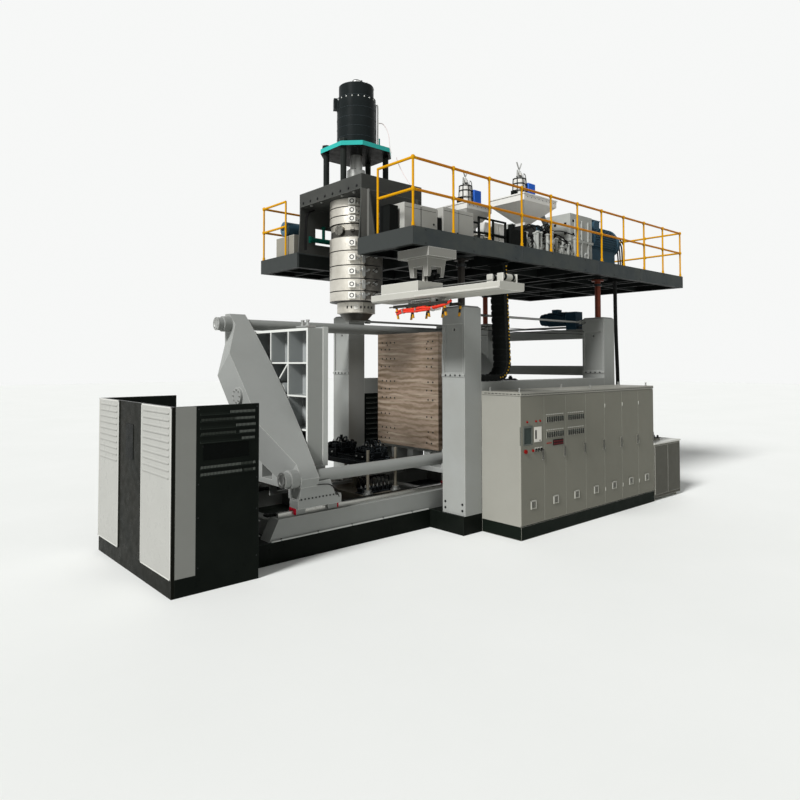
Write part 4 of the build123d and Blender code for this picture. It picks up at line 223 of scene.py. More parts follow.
def bars(*rows, edge=2):
    """Rectangular bars from rows of x0, x1, y0, y1, z0, z1, their edges broken by that many millimetres.

    A corner c with outward signs s gives three points, one for each axis: c - edge * s, put back on the
    face across that axis. One face looks each way of parts -1, 0 or 1, through the points farthest that
    way, taken in order of their angle about it.
    """
    low, high = np.array(rows, float).reshape(-1, 3, 2).transpose(2, 0, 1)
    sign = np.array(grid(*3 * [(-1, 1)]))
    shift = sign[:, None] * (1 - np.eye(3))
    inset = np.minimum(edge / 1000, (high - low).min(1) * 0.3)[:, None, None, None]
    points = np.where(sign > 0, high[:, None], low[:, None])[:, :, None] - inset * shift
    unit = (sign[:, None] - 0.3 * shift).reshape(-1, 3)
    sides = []
    for way in grid(*3 * [(-1, 0, 1)]):
        if any(way):
            mine = np.flatnonzero(unit @ way > (unit @ way).max() - 0.001)
            u = np.cross(way, (0.3, 0.5, 0.8))
            angle = np.arctan2(unit[mine] @ np.cross(way, u), unit[mine] @ u)
            sides.append(mine[np.argsort(angle)])
    faces = [(24 * n + side).tolist() for n in range(len(rows)) for side in sides]
    return points.reshape(-1, 3), faces


def rings(points):
    """Skin over rings of points, shaped (pieces, rings, sides, 3), with a flat cap at both ends."""
    count, tall, sides = points.shape[:3]
    n, i, j = np.meshgrid(np.arange(count), np.arange(tall - 1), np.arange(sides), indexing="ij")
    start, j2 = (n * tall + i) * sides, (j + 1) % sides
    quads = np.stack([start + j, start + j2, start + sides + j2, start + sides + j], -1).reshape(-1, 4)
    first = np.arange(count)[:, None] * tall * sides + np.arange(sides)
    last = first + (tall - 1) * sides
    return points.reshape(-1, 3), [*quads.tolist(), *first[:, ::-1].tolist(), *last.tolist()]


def turned(centres, axis, profile, sides=20):
    """Turned pieces: (r, h) of the profile goes to centre + h * axis + r * (cos t * u + sin t * v).

    The centres are in metres like all places, the profile in millimetres.
    """
    centres = np.atleast_2d(np.array(centres, float))
    axis = np.array(axis, float) / np.linalg.norm(axis)
    u = np.cross(axis, (0, 0, 1) if abs(axis[2]) < 0.9 else (1, 0, 0))
    u /= np.linalg.norm(u)
    v = np.cross(axis, u)
    t = np.linspace(0, 2 * np.pi, sides, endpoint=False) + np.pi / sides
    r, h = np.array(profile, float).T / 1000
    round_part = np.cos(t)[:, None] * u + np.sin(t)[:, None] * v
    shape = r[:, None, None] * round_part + h[:, None, None] * axis
    return rings(centres[:, None, None] + shape)


def piece(name, body, material, *shapes):
    """One object out of several shapes, smooth over all but sharp corners, that rides on a CAD body."""
    points, faces, first = [], [], 0
    for shape_points, shape_faces in shapes:
        points.append(shape_points)
        faces += [[first + k for k in face] for face in shape_faces]
        first += len(shape_points)
    mesh = bpy.data.meshes.new(name)
    mesh.from_pydata(np.vstack(points).tolist(), [], faces)
    mesh.polygons.foreach_set("use_smooth", np.ones(len(faces), bool))
    mesh.set_sharp_from_angle(angle=0.7)
    mesh.materials.append(material)
    made = bpy.data.objects.new(name, mesh)
    scene.collection.objects.link(made)
    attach(made, body)


def bolts(centres, axis, radius, height=None):
    """Hexagon heads on washers, standing on a face along the axis; radius and height in mm."""
    height = height or radius * 0.8
    head = [(radius, height * 0.25), (radius, height * 0.9), (radius * 0.85, height)]
    washer = turned(centres, axis, [(radius * 1.3, 0), (radius * 1.3, height * 0.25)], 16)
    return [turned(centres, axis, head, 6), washer]


UP, DOWN, RIGHT, LEFT, REAR, FRONT = (0, 0, 1), (0, 0, -1), (1, 0, 0), (-1, 0, 0), (0, 1, 0), (0, -1, 0)


dress(enamel("black_enamel", "0B0F0C", "1B1E1A", rough=0.34, spread=0.6, edge="262C28"), "base_sections",
    "cross_sills")
dress(enamel("bed_grey_enamel", "888A87", "7C7E79", edge="B0B2AD"), "bed_frame")
dress(steel("ground_rail_steel", "B9B9B4", "8F8D86", 0.28, (0.05, 1, 1)), "guide_rails")
# Blacked steel for screws; the same dark colour fills the tapped holes as painted shade.
dark_steel = steel("blacked_screws_and_hole_shade", "26282A", "3A3A38", 0.4)
lip_enamel = enamel("lip_light_enamel", "B9BBB7", "A4A6A1")
piece("bed_lip", "base", lip_enamel, bars(*boxes((3.02, 0.021, 0.018), -2.36, (-1.149, 1.128), 0.3)))
piece("bed_jack_screws", "base", dark_steel,
    *bolts([(x, y, 0.3) for y in (-1.135, 1.135) for x in np.arange(-2.2, 4.7, 0.62)
    if not 0.55 < x < 1.3], UP, 13, 30))
# Black for covers, hoops and straps; the same black stands for shade in gaps and holes.
black_and_shade = enamel("black_enamel_and_shade", "101211", "1C1E1D", rough=0.5)
piece("way_covers", "base", black_and_shade,
    bars(*boxes((0.058, 0.11, 0.037), np.arange(-2.3, 4.66, 0.06), (-0.915, 0.805), 0.591), edge=8))
piece("end_recess_border", "base", lip_enamel,
    bars(*boxes((0.016, 1.72, 0.015), -2.388, -0.86, (0.33, 0.545))))

# -------- columns and lifting gear
# Four box columns of painted plate stand on the sills, with bolts at the foot and under a ledge. The
# geared lift motor turns the four screws through long bare shafts.


def carried(path, radius, sides=10):
    """Round section, its radius in mm, carried along a smooth path: Catmull-Rom spans, eight steps each."""
    path = np.array(path, float)
    ends = np.vstack([2 * path[0] - path[1], path, 2 * path[-1] - path[-2]])
    t = np.linspace(0, 1, 8, endpoint=False)[:, None]
    spans = [0.5 * (2 * b + (c - a) * t + (2 * a - 5 * b + 4 * c - d) * t ** 2
                    + (3 * b - a - 3 * c + d) * t ** 3)
             for a, b, c, d in zip(ends, ends[1:], ends[2:], ends[3:])]
    line = np.vstack([*spans, path[-1:]])
    ahead = np.gradient(line, axis=0)
    ahead /= np.linalg.norm(ahead, axis=1, keepdims=True)
    side = np.cross(ahead[0], (0.31, 0.17, 0.94) if abs(ahead[0][2]) < 0.8 else (1, 0.2, 0))
    frames = []
    for along in ahead:
        side = side - along * side.dot(along)
        side /= np.linalg.norm(side)
        frames.append((side, np.cross(along, side)))
    u, v = np.array(frames).transpose(1, 0, 2)
    turn = np.linspace(0, 2 * np.pi, sides, endpoint=False)[:, None]
    ring = np.cos(turn) * u[:, None] + np.sin(turn) * v[:, None]
    return rings((line[:, None] + radius / 1000 * ring)[None])


def band(inner, outer, height, edge):
    """Profile of a disc or ring: it widens from inner to outer over the edge, at both ends."""
    return [(inner, 0), (outer, edge), (outer, height - edge), (inner, height)]


dress(enamel("column_grey_enamel", "959794", "898A84", edge="C2C3BF"), "column_near_left",
    "column_far_left", "column_near_right", "column_far_right", "side_beams", "end_beams")
motor_enamel = enamel("motor_blue_enamel", "1F3644", "2C4552", rough=0.38, edge="55707E")
dress(motor_enamel, "lift_motor")
shaft_steel = steel("drawn_shaft_steel", "8E8F8C", "6F6F6A", 0.35, (0.2, 0.2, 1))
dress(shaft_steel, "lift_shaft_near", "lift_shaft_far", "lift_shaft_end")
# The two left lift screws (x below 3) are painted darker: painted shade under the platform.
dress(steel("phosphated_screw_steel", "6A3426", "43261F", 0.5, (1, 1, 3), areas=(("2C2926", "x", -1, 3),)),
    "lift_screws")
ledge_y = np.add.outer((-1.815, 1.27), 0.107 * np.arange(4)).ravel()
piece("column_ledge_bolts", "base", dark_steel, *bolts(grid((0.712, 4.922), ledge_y, 2.56), LEFT, 13))
foot_bolts = grid((0.728, 4.938), (-1.845, -1.465, 1.24, 1.62), (0.38, 0.48))
piece("column_foot_bolts", "base", dark_steel, *bolts(foot_bolts, LEFT, 16))
piece("lift_motor_fins", "base", motor_enamel,
    turned(grid(5.14, np.arange(-0.9, -0.45, 0.028), 3.715), REAR, band(141, 157, 8, 2), 28),
    bars((5.06, 5.22, -0.72, -0.56, 3.845, 3.93), edge=8))
piece("screw_collars", "platform", dark_steel,
    turned(grid((0.93, 5.14), (-1.655, 1.43), 4.36), UP, band(62, 85, 54, 4), 24))
wires = [carried([(1.13, y, z), (3.0, y, z - 0.02), (4.94, y, z)], 6, 6)
    for y, z in ((-1.44, 3.42), (-1.41, 3.36), (1.2, 3.42))]
black_rubber = enamel("black_rubber", "141414", "222222", rough=0.6)
piece("shaft_side_cables", "base", black_rubber, *wires)

# -------- clamp ring and left platen
# Plate-built beams and carriages, painted grey; their edges are painted lighter, a painted highlight
# where they catch the light as well as thin paint. Tie bars are painted too, their nuts bare. Red wipers
# keep the rails clean, capscrews hold the foot to its carriage.


def row(start, end, count):
    """Evenly spaced points from start to end."""
    return np.linspace(start, end, count)


def capscrews(centres, axis, radius, height, socket, floor):
    """Round screw heads with a socket; its floor lies that far above the face."""
    return turned(centres, axis, [(radius, 0), (radius, height), (socket, height), (socket - 1, floor)], 12)


ring_enamel = enamel("ring_enamel", "939592", "868884", spread=0.4, edge="CACBC6",
    areas=(("3A3B38", "x", -2.4, -2.3055, "y", -0.13, 0.13, "z", 2.1, 2.4),))
dress(ring_enamel, "clamp_beam", "tail_beam", "left_carriage", "right_carriage")
dress(enamel("tie_bar_enamel", "8C8E8B", "7C7E7A", rough=0.36, edge="BBBCB8"), "tie_bars")
chrome = steel("hard_chrome", "C9C9C6", "A5A5A0", 0.18)
dress(chrome, "clamp_rod")
dress(steel("oiled_gear_steel", "6E6A62", "44423E", 0.35), "sync_pinion")
# Beyond the rib faces (x above -1.549) the cells are painted darker: painted shade in the recesses. Along the
# near side a lighter outer strip lies before a darker one.
dress(enamel("platen_cell_enamel", "D8DAD5", "C6C8C3", edge="DCDDD8",
    areas=(("989C9B", "x", -1.549, -1.22), ("949692", "y", -0.86, -0.8165),
    ("B5B7B3", "y", -0.86, -0.8385))), "left_platen")

nut_steel = steel("turned_nut_steel", "A9AAA7", "84857F", 0.32)
plugs = []
for x, axis in ((-2.13, LEFT), (3.73, RIGHT)):
    for y, z in ((-1.04, 1.108), (1.04, 3.422)):
        plugs.append(turned((x, y, z), axis, [(105, 0), (112, 2), (112, 12), (70, 14), (60, 6), (20, 6)],
            32))
        plugs.append(turned([(x + axis[0] * 0.014, y + 0.085 * np.cos(a), z + 0.085 * np.sin(a))
            for a in np.arange(6) * np.pi / 3 + 0.3], axis, [(9, -2), (9, 6)], 12))
piece("tie_bar_end_caps", "left_clamp", nut_steel, *plugs)
piece("foot_screws", "left_clamp", dark_steel,
    capscrews(grid(row(-1.88, -1.32, 10), -1.15, 0.822), FRONT, 13, 6, 7, 2))
piece("carriage_end_lips", "left_clamp", ring_enamel,
    bars(*boxes((0.045, 0.22, 0.028), (-1.935, -1.22), (-1.15, 0.93), 0.798), edge=6))
red_rubber = enamel("red_wiper_rubber", "B4182C", "8E1424", rough=0.5)


def wipers(name, body, ends):
    """Red wiper on both rails at the outer face of each end block of a carriage: a bridge and two legs."""
    starts = np.subtract(ends, 0.012)
    bridges = boxes((0.024, 0.15, 0.036), starts, (-1.075, 0.925), 0.656)
    legs = boxes((0.024, 0.041, 0.054), starts, (-1.075, -0.966, 0.925, 1.034), 0.602)
    piece(name, body, red_rubber, bars(*bridges, *legs))


wipers("left_carriage_wipers", "left_clamp", (-1.928, -1.182))
wipers("right_carriage_wipers", "right_clamp", (1.182, 1.928))
wipers("tail_carriage_wipers", "left_clamp", (2.782, 3.528))
piece("grease_line", "left_clamp", black_rubber,
    carried([(-1.62, -1.156, 1.0), (-1.4, -1.158, 0.98), (-1.3, -1.158, 0.9), (-1.22, -1.158, 0.78)], 6, 6))
piece("platen_top_fittings", "left_clamp", nut_steel,
    turned(grid(-1.39, (-0.42, -0.56), 3.32), UP,
    [(35, 0), (35, 50), (22, 55), (22, 90), (30, 95), (30, 120)]),
    bars((-1.47, -1.28, -0.63, -0.35, 3.318, 3.345)))
# The tapped holes are dark cups: painted shade inside the holes.
piece("left_platen_tapped_holes", "left_clamp", dark_steel,
    turned(grid(-1.2, (-0.72, -0.6, -0.48, 0.48, 0.6, 0.72), row(1.4, 3.12, 9)), RIGHT,
    [(14, 0), (14, 1.5), (10, 1.5), (9, 0.5)], 14))

# -------- right platen
# Ground steel plate, oiled against rust, which has turned it brown in bands. Rows of tapped holes hold
# the mould; the plate stands on its own carriage and the cylinder's rod bears on its back.
oiled_steel, tree, shader, where = matter("oiled_platen_steel", metallic=0.55, roughness=0.42)
bands = add(tree, "Mapping", Vector=where, Scale=(1, 0.5, 1))
streak = add(tree, "TexWave", {"bands_direction": "Z"}, Vector=bands, Scale=2.9, Distortion=6.5,
    Detail=4.0, Detail_Scale=1.6, Detail_Roughness=0.62)
ramp = add(tree, "MapRange", Value=streak.outputs["Fac"], i1=0.1, i2=0.9)
tone = add(tree, "MixRGB", Fac=ramp, Color1="73624F", Color2="928070")
wipe = add(tree, "Mapping", Vector=where, Scale=(1, 0.25, 5))
smear = add(tree, "TexNoise", Vector=wipe, Scale=4.0, Detail=5.0, Roughness=0.6)
ramp = add(tree, "MapRange", Value=smear, i1=0.5, i2=0.72, i3=0.0, i4=0.55)
tone = add(tree, "MixRGB", Fac=ramp, Color1=tone, Color2="C2B4A2")
gloss = add(tree, "MapRange", Value=streak.outputs["Fac"], i1=0.3, i2=0.7, i3=0.32, i4=0.52)
wire(tree, shader, Base_Color=tone, Roughness=gloss)
dress(oiled_steel, "right_platen")
tapped = [(1.2, y, z) for z in (3.15, 2.84, 2.41, 2.09, 1.51) for y in (0.7, 0.58, 0.46, 0.34, -0.58, -0.7)]
tapped += [(1.2, y, z) for z in (3.02, 2.69, 2.26, 1.78, 1.31) for y in (0.735, 0.615, 0.495, -0.545, -0.665)]
# The tapped holes are dark cups: painted shade inside the holes.
piece("right_platen_tapped_holes", "right_clamp", dark_steel,
    turned(tapped, LEFT, [(17, 0), (17, 1.5), (12, 1.5), (10, 0.5)], 14))
piece("right_platen_edge_bars", "right_clamp", nut_steel,
    bars(*boxes((0.07, 0.008, 1.7), 1.29, (-0.83, 0.822), 1.4)))
pressure_black = enamel("pressure_black_enamel", "1A1E1E", "282D2F", rough=0.3, edge="434A4E")
dress(pressure_black, "clamp_cylinder", "push_cylinder")
piece("clamp_cylinder_ports", "left_clamp", pressure_black,
    turned(grid((3.08, 4.3), 0, 2.415), UP, [(45, -20), (45, 30), (30, 35), (30, 60)]),
    turned((4.44, 0, 2.265), RIGHT, [(140, 0), (140, 20), (120, 30), (50, 30)], 32))
piece("clamp_flange_screws", "left_clamp", dark_steel,
    capscrews([(3.14, 0.178 * np.cos(a), 2.265 + 0.178 * np.sin(a)) for a in np.arange(12) * np.pi / 6],
    LEFT, 14, 16, 7, 8))

# -------- blow unit
# Cast and milled base, its guide posts in bright collars. The two spreaders are dense black tooling:
# clamp plates, short air cylinders, valves and their hoses around the blow pins.
dress(enamel("blow_unit_enamel", "6A655A", "4F4B43", rough=0.5, edge="8B877C"), "blow_unit_base")
tool_black = enamel("black_tooling_enamel", "101213", "22262A", rough=0.28, edge="565C60")
dress(tool_black, "spreader_near", "spreader_far", "blow_table")


def tooling(name, body, y, seed):
    """Plates, cylinders and fittings heaped on a spreader, all inside its own outline."""
    rng = np.random.default_rng(seed)
    low = [(-0.235 + 0.12 * i, -0.235 + 0.12 * i + rng.uniform(0.06, 0.11), y - rng.uniform(0.10, 0.16),
            y + rng.uniform(0.10, 0.16), 1.248, 1.262 + rng.uniform(0.02, 0.09)) for i in range(4)]
    jaws = boxes((0.07, 0.28, 0.18), (-0.235, 0.165), y - 0.14, 1.16)
    valves = boxes((0.045, 0.05, 0.09), (-0.12, 0.08), y - 0.15 + 0.075 * np.arange(4), 1.27)
    blocks = bars(*low, *jaws, *valves, edge=4)
    waisted = [(28, 0), (30, 5), (30, 120), (24, 125), (24, 400), (30, 405), (30, 520), (28, 525)]
    starts = [(-0.26, y - 0.09 + 0.09 * j, 1.31 + 0.03 * (j % 2)) for j in range(3)]
    barrels = [turned(starts, RIGHT, waisted, 18),
               turned(grid((-0.11, 0.11), y - 0.17, 1.2), REAR, band(26, 30, 334, 4), 18)]
    hoses = [carried([(x, y - 0.12, 1.35), (x + 0.03, y - 0.06, 1.43), (x + 0.07, y + 0.04, 1.42),
                      (x + 0.09, y + 0.12, 1.33)], 9, 8) for x in rng.uniform(-0.22, 0.12, 6)]
    piece(name + "_tooling", body, tool_black, blocks, *barrels, *hoses)
    tips = grid((-0.1, 0.1), y - 0.12 + 0.075 * np.arange(4), 1.36)
    piece(name + "_fittings", body, nut_steel, turned(tips, UP, [(12, 0), (12, 10), (8, 12), (8, 30)], 10),
          turned(grid((-0.262, 0.262), (y - 0.08, y + 0.08), 1.20), RIGHT, [(14, -8), (14, 8)], 12))


tooling("spreader_near", "spreader_near", -0.43, 4)
tooling("spreader_far", "spreader_far", 0.43, 9)
piece("post_collars", "base", nut_steel,
    turned(grid((-0.3, 0.3), (-0.7, 0.7), 0.601), UP,
    [(52, 0), (85, 2), (85, 30), (60, 34), (60, 80), (52, 82)], 28))
piece("base_valve_row", "base", tool_black,
    bars(*boxes((0.06, 0.16, 0.09), -0.34 + 0.085 * np.arange(8), -0.62, 0.6),
    (-0.36, 0.36, -0.64, -0.44, 0.599, 0.62), edge=4))
piece("base_valve_caps", "base", nut_steel,
    turned(grid(-0.31 + 0.085 * np.arange(8), -0.54, 0.69), UP, [(18, 0), (18, 20), (10, 24), (10, 40)],
    12))
air_lines = [carried([(-0.31 + 0.085 * i, -0.54, 0.72), (-0.3 + 0.085 * i, -0.5, 0.83),
    (-0.2 + 0.05 * i, -0.3, 0.8), (-0.1 + 0.02 * i, -0.15, 0.61)], 9, 8) for i in range(8)]
piece("base_air_lines", "base", black_rubber, *air_lines)

# -------- guard round the clamp's end
# Folded sheet walls on the floor: light panels with pressed louvres over black sheet and plinth, the
# near wing punched with rows of short slots. The sign plates are left blank.
dress(enamel("guard_end_enamel", "0D100C", "1F1C15", rough=0.3,
    areas=(("A6A6A1", "x", -3.99, -3.9145), ("989893", "x", -3.99, -3.9265))), "guard_end_panel")
# The near wing's light stripe is the end panel's light paint, painted darker: painted shade on the front
# face.
dress(enamel("guard_near_enamel", "0D110E", "1A1E1A", rough=0.34, edge="2C312D",
    areas=(("878883", "x", -3.93, -3.612, "z", 0.22, 2.26),)), "guard_near_wing")
dress(enamel("guard_black_enamel", "141815", "262A26", rough=0.4, edge="6F726D"), "guard_far_wing",
    "rear_louvre_guard")
panel_trim = enamel("panel_edge_white", "C2C2BD", "B2B2AC", rough=0.35)
trims = []
for y0, y1 in ((-1.5, -0.53), (0.33, 1.19)):
    trims += [(-3.923, -3.918, y0, y0 + 0.016, 0.22, 2.25), (-3.923, -3.918, y1 - 0.016, y1, 0.22, 2.25),
        (-3.923, -3.918, y0, y1, 2.232, 2.25), (-3.923, -3.918, y0, y1, 0.22, 0.236)]
piece("guard_panel_edges", "base", panel_trim, bars(*trims, edge=1))
slot_grey = enamel("slot_lip_grey", "5E625D", "4A4D49", rough=0.4)
faint_grey = enamel("slot_lip_dark", "3C403B", "2C302C", rough=0.45)


def slot_rows(name, coat, *rows):
    """Rows of short upright slots in the near wing, from (first x, end x, heights) each."""
    slots = []
    for first, end, heights in rows:
        starts = np.arange(first, end, 0.0185)
        slots += boxes((0.01, 0.0045, 0.032), starts, -1.5155, np.subtract(heights, 0.016))
    piece(name, "base", coat, bars(*slots, edge=1))


slot_rows("guard_slots", slot_grey, (-3.17, -2.825, 2.16), (-3.1, -2.825, 2.075), (-3.09, -2.825, 1.99),
    (-3.04, -2.825, 1.905), (-3.01, -2.825, 1.82), (-3.555, -3.02, 1.5), (-3.555, -3.0, 1.415),
    (-2.85, -2.82, (1.5, 1.415)))
slot_rows("guard_faint_slots", faint_grey, (-3.55, -3.1, (2.075, 1.905)), (-3.02, -2.86, 1.5),
    (-3.0, -2.86, 1.415))
piece("blank_sign_plates", "base", enamel("blank_sign_black", "050706", "0C0F0D", rough=0.25),
    bars((-3.525, -2.905, -1.506, -1.4995, 1.585, 1.775), (-3.9135, -3.9075, -0.215, 0.062, 1.49, 1.955),
    edge=2))
piece("guard_screws", "base", dark_steel, capscrews(grid((-3.58, -2.79), -1.5005, (0.3, 0.9, 1.3, 2.21)),
    FRONT, 9, 3, 4, 1))

# -------- control cabinets
# Powder-coated steel cabinets on a black plinth: hinged doors with swing handles and vent hoods, a
# dark screen, a small keypad, lamps, selector switches and rows of plug-in temperature controllers.
# The first of these areas paints the cabinet fronts darker than their sides: painted shade on the front
# faces. The doors share it.
fronts = (("77766C", "y", -2.712, -2.6955, "z", 0.215, 2.235),
    ("A2A197", "y", -2.72, -2.7045, "z", 0.44, 0.6), ("3B3B37", "y", -2.73, -2.7045, "z", 1.19, 1.39),
    ("1B1D1B", "y", -2.72, -2.7045, "z", 1.5, 1.95), ("121813", "z", -0.1, 0.21),
    ("43443F", "z", 2.236, 2.243))
dress(enamel("cabinet_enamel", "8F8E86", "85847C", rough=0.45, spread=0.4, edge="A3A298", areas=fronts),
    "control_cabinet", "cabinet_door_heating")
dress(enamel("operator_door_enamel", "8F8E86", "85847C", rough=0.45, spread=0.4, edge="9D9C93",
    areas=(fronts[0], ("D5D2CA", "y", -2.72, -2.7025, "z", 1.32, 1.8),
    ("2A322F", "y", -2.695, -2.68, "z", 1.47, 1.76), *fronts[1:3])), "cabinet_door_operator")
# The low cabinet's front is painted darker: painted shade on the front face.
dress(enamel("low_cabinet_enamel", "9B9A90", "8C8B80", rough=0.45, edge="B9B8AF",
    areas=(("56554E", "y", -2.73, -2.695, "z", 0.05, 1.1), ("D0D0CA", "z", 1.118, 1.16))), "low_cabinet")
red_plastic = enamel("red_button_plastic", "86120E", "6A0E0B", rough=0.3)
dress(red_plastic, "stop_button", "start_button")
screen_glass, tree, shader, where = matter("screen_glass", roughness=0.12)
shader.inputs["Specular IOR Level"].default_value = 0.06
glow = add(tree, "TexNoise", Vector=where, Scale=6.0, Detail=2.0)
tone = add(tree, "MixRGB", Fac=glow, Color1="252C2A", Color2="3C4642")
wire(tree, shader, Base_Color=tone)
piece("operator_screen", "cabinet_door_operator", screen_glass,
    bars((1.225, 1.415, -2.6985, -2.6915, 1.485, 1.735)))
frame_bars = [(1.2, 1.225, -2.706, -2.6915, 1.462, 1.768), (1.415, 1.44, -2.706, -2.6915, 1.462, 1.768),
    (1.225, 1.415, -2.706, -2.6915, 1.735, 1.768), (1.225, 1.415, -2.706, -2.6915, 1.462, 1.485)]
keys = [(1.5, 1.535, -2.713, -2.709, 1.55, 1.69), (1.61, 1.635, -2.713, -2.709, 1.51, 1.53)]
knobs = turned(grid((1.52, 1.59, 1.66), -2.706, 1.385), FRONT,
    [(17, 0), (17, 6), (12, 8), (11, 24), (8, 26)], 20)
black_plastic = enamel("black_switch_plastic", "121313", "1E1F1E", rough=0.35)
piece("operator_screen_frame", "cabinet_door_operator", slot_grey, bars(*frame_bars))
piece("operator_panel_parts", "cabinet_door_operator", black_plastic, bars(*keys), knobs)
piece("operator_lamps", "cabinet_door_operator", red_plastic,
    turned(grid((1.3, 1.53, 1.64), -2.7, 1.83), FRONT, [(18, 0), (18, 6), (13, 7), (12, 18), (6, 23)], 20))
label_white = enamel("label_white_print", "E6E5DF", "CFCEC8", rough=0.5)


def door_marks(name, body, x0, y):
    """White label strips above the controllers' rows and a lit display line in each controller."""
    cells = [(x0 + 0.062 * i, z) for z in (1.54, 1.79) for i in range(8)]
    ticks = [(x + dx, x + dx + 0.007, y - 0.0012, y + 0.001, z + 0.122, z + 0.132 + 0.006 * (k % 2))
             for x, z in cells for k, dx in enumerate((0.004, 0.018, 0.032))]
    lines = [(x + 0.007, x + 0.039, y - 0.0115, y - 0.009, z + 0.058, z + 0.076) for x, z in cells]
    piece(name, body, label_white, bars(*ticks, edge=0.3))
    piece(name + "_displays", body, screen_glass, bars(*lines, edge=0.5))


door_marks("heating_door_labels", "cabinet_door_heating", 1.812, -2.7)
door_marks("fixed_door_labels", "base", 2.422, -2.6997)
piece("heating_door_lamps", "cabinet_door_heating", red_plastic,
    turned(grid(1.83 + 0.035 * np.arange(4), -2.7, 1.455), FRONT, [(9, 0), (9, 8), (6, 11)], 14))
piece("heating_door_meter", "cabinet_door_heating", black_plastic,
    bars((1.99, 2.28, -2.709, -2.6995, 1.405, 1.5)))
piece("meter_segments", "cabinet_door_heating", enamel("meter_segment_red", "5E2022", "431618", rough=0.4),
    bars(*boxes((0.032, 0.002, 0.026), 2.0 + 0.047 * np.arange(6), -2.7105, (1.415, 1.458))))
dashes = boxes((0.05, 0.002, 0.01), np.arange(1.16, 5.36, 0.075), -2.7065, 2.262)
sides = boxes((0.003, 0.05, 0.01), 1.1375, np.arange(-2.69, -1.95, 0.075), 2.262)
piece("roof_joint_dashes", "base", black_plastic, bars(*dashes, *sides, edge=0.5))
vent_grey = enamel("vent_hood_grey", "A3A39B", "8F8F87", rough=0.4)
for index in range(7):
    x = 1.14 + 0.61 * (index + 0.5)
    body = {0: "cabinet_door_operator", 1: "cabinet_door_heating"}.get(index, "base")
    slats = boxes((0.09, 0.0035, 0.007), x - 0.045, -2.7165, row(0.475, 0.555, 6))
    uprights = boxes((0.013, 0.0185, 0.136), (x - 0.068, x + 0.055), -2.7185, 0.452)
    piece(f"vent_{index + 1}_frame", body, vent_grey,
        bars(*uprights, (x - 0.068, x + 0.068, -2.7185, -2.7, 0.575, 0.588)))
    piece(f"vent_{index + 1}_slats", body, black_plastic, bars(*slats, edge=0.8))
piece("door_hinge_pins", "base", vent_grey, turned(grid((3.593, 4.203, 4.813), -2.7045, (0.45, 1.2, 1.95)),
    UP, band(6, 8, 70, 3), 12))
piece("low_cabinet_glands", "base", black_plastic,
    turned([(6.0, -2.41, 1.2), (5.93, -2.36, 1.2), (6.02, -2.48, 1.2)], UP,
    [(30, -10), (30, 15), (20, 18), (18, 50)], 16), bars((5.88, 6.08, -2.52, -2.3, 1.198, 1.206)))
piece("cabinet_lifting_eyes", "base", nut_steel,
    turned(grid((1.24, 3.27, 5.31), (-2.6, -2.0), 2.3), UP,
    [(22, 0), (22, 12), (12, 14), (12, 45), (20, 50), (20, 62)], 16))

# -------- platform and railing
# Welded dark grey deck, mottled where it was touched up; below the deck top it is painted near black,
# painted shade under the deck. The yellow tube railing has ball joints where its rails meet the posts and
# a bolted foot under each post.
# The second area paints the deck near black below its top: painted shade under the deck.
dress(enamel("platform_enamel", "3B4042", "54564F", rough=0.5, spread=0.6,
    areas=(("3D403F", "x", -0.67, -0.65),
    ("1A1D1C", "x", -0.62, 7.92, "y", -2.15, 2.15, "z", 4.4, 4.735))), "platform_frame")
dress(enamel("railing_yellow_enamel", "CC930C", "B9850A", rough=0.33,
    areas=(("B8741A", "y", -2.2, -2.1, "x", -0.55, 7.99, "z", 5.75, 5.8),
    ("C07C1A", "y", -2.2, -2.1, "x", -0.55, 7.99, "z", 5.285, 5.335),
    ("B57A1E", "y", 2.0, 2.2, "x", -0.55, 7.99))), "guardrail")
deck = 4.76
stands = grid(-0.62 + 0.853 * np.arange(11), (-2.14, 2.14)) + grid(7.91, row(-1.284, 1.284, 4))
ball = [(18, -36), (29, -24), (34, 0), (29, 24), (18, 34)]
tees = turned([(x, y, z) for x, y in stands for z in (5.774, 5.309)], UP, ball, 14)
feet = turned([(x, y, deck) for x, y in stands], UP, [(34, 0), (34, 8), (25, 10), (25, 60), (19, 64)], 14)
piece("railing_ball_joints", "platform", enamel("joint_yellow_enamel", "CC930C", "B3820C", rough=0.35),
    tees, feet)
piece("platform_edge_bolts", "platform", dark_steel,
    *bolts(grid(np.arange(-0.4, 7.9, 1.06), -2.182, (4.53, 4.725)), FRONT, 9))
piece("platform_edge_seams", "platform", enamel("seam_paint", "404446", "5A5C5B", rough=0.5),
    bars(*boxes((0.006, 0.0045, 0.255), (1.9, 4.3, 6.2), -2.1835, 4.5), edge=1))

# -------- head portal
# Dark painted portal of thick plate. Its front beam is bolted up from below with bright nuts, and the
# right wall has a lighter gusset. A green oil pipe runs across the left wall.
# Between the walls and under the top the portal is painted darker: painted shade inside it.
dress(enamel("portal_enamel", "3E3F3D", "4E4F4B", rough=0.45, edge="6A6B67",
    areas=(("2B2D2B", "x", -0.575, 0.71, "y", -0.905, 0.905, "z", 4.8, 5.575),)), "head_portal")
dress(enamel("portal_wall_enamel", "3A3B39", "484945", rough=0.45, edge="62635F",
    areas=(("6A6A66", "x", -0.6, -0.44, "y", -0.95, -0.8),)), "portal_walls")
piece("portal_face_bolts", "platform", dark_steel, *bolts(grid(-0.6005, row(-0.78, 0.78, 8), 5.64), LEFT, 19))
piece("portal_under_nuts", "platform", nut_steel,
    *bolts(grid(-0.53, (-0.62, -0.3, 0.3, 0.62), 5.58), DOWN, 24))
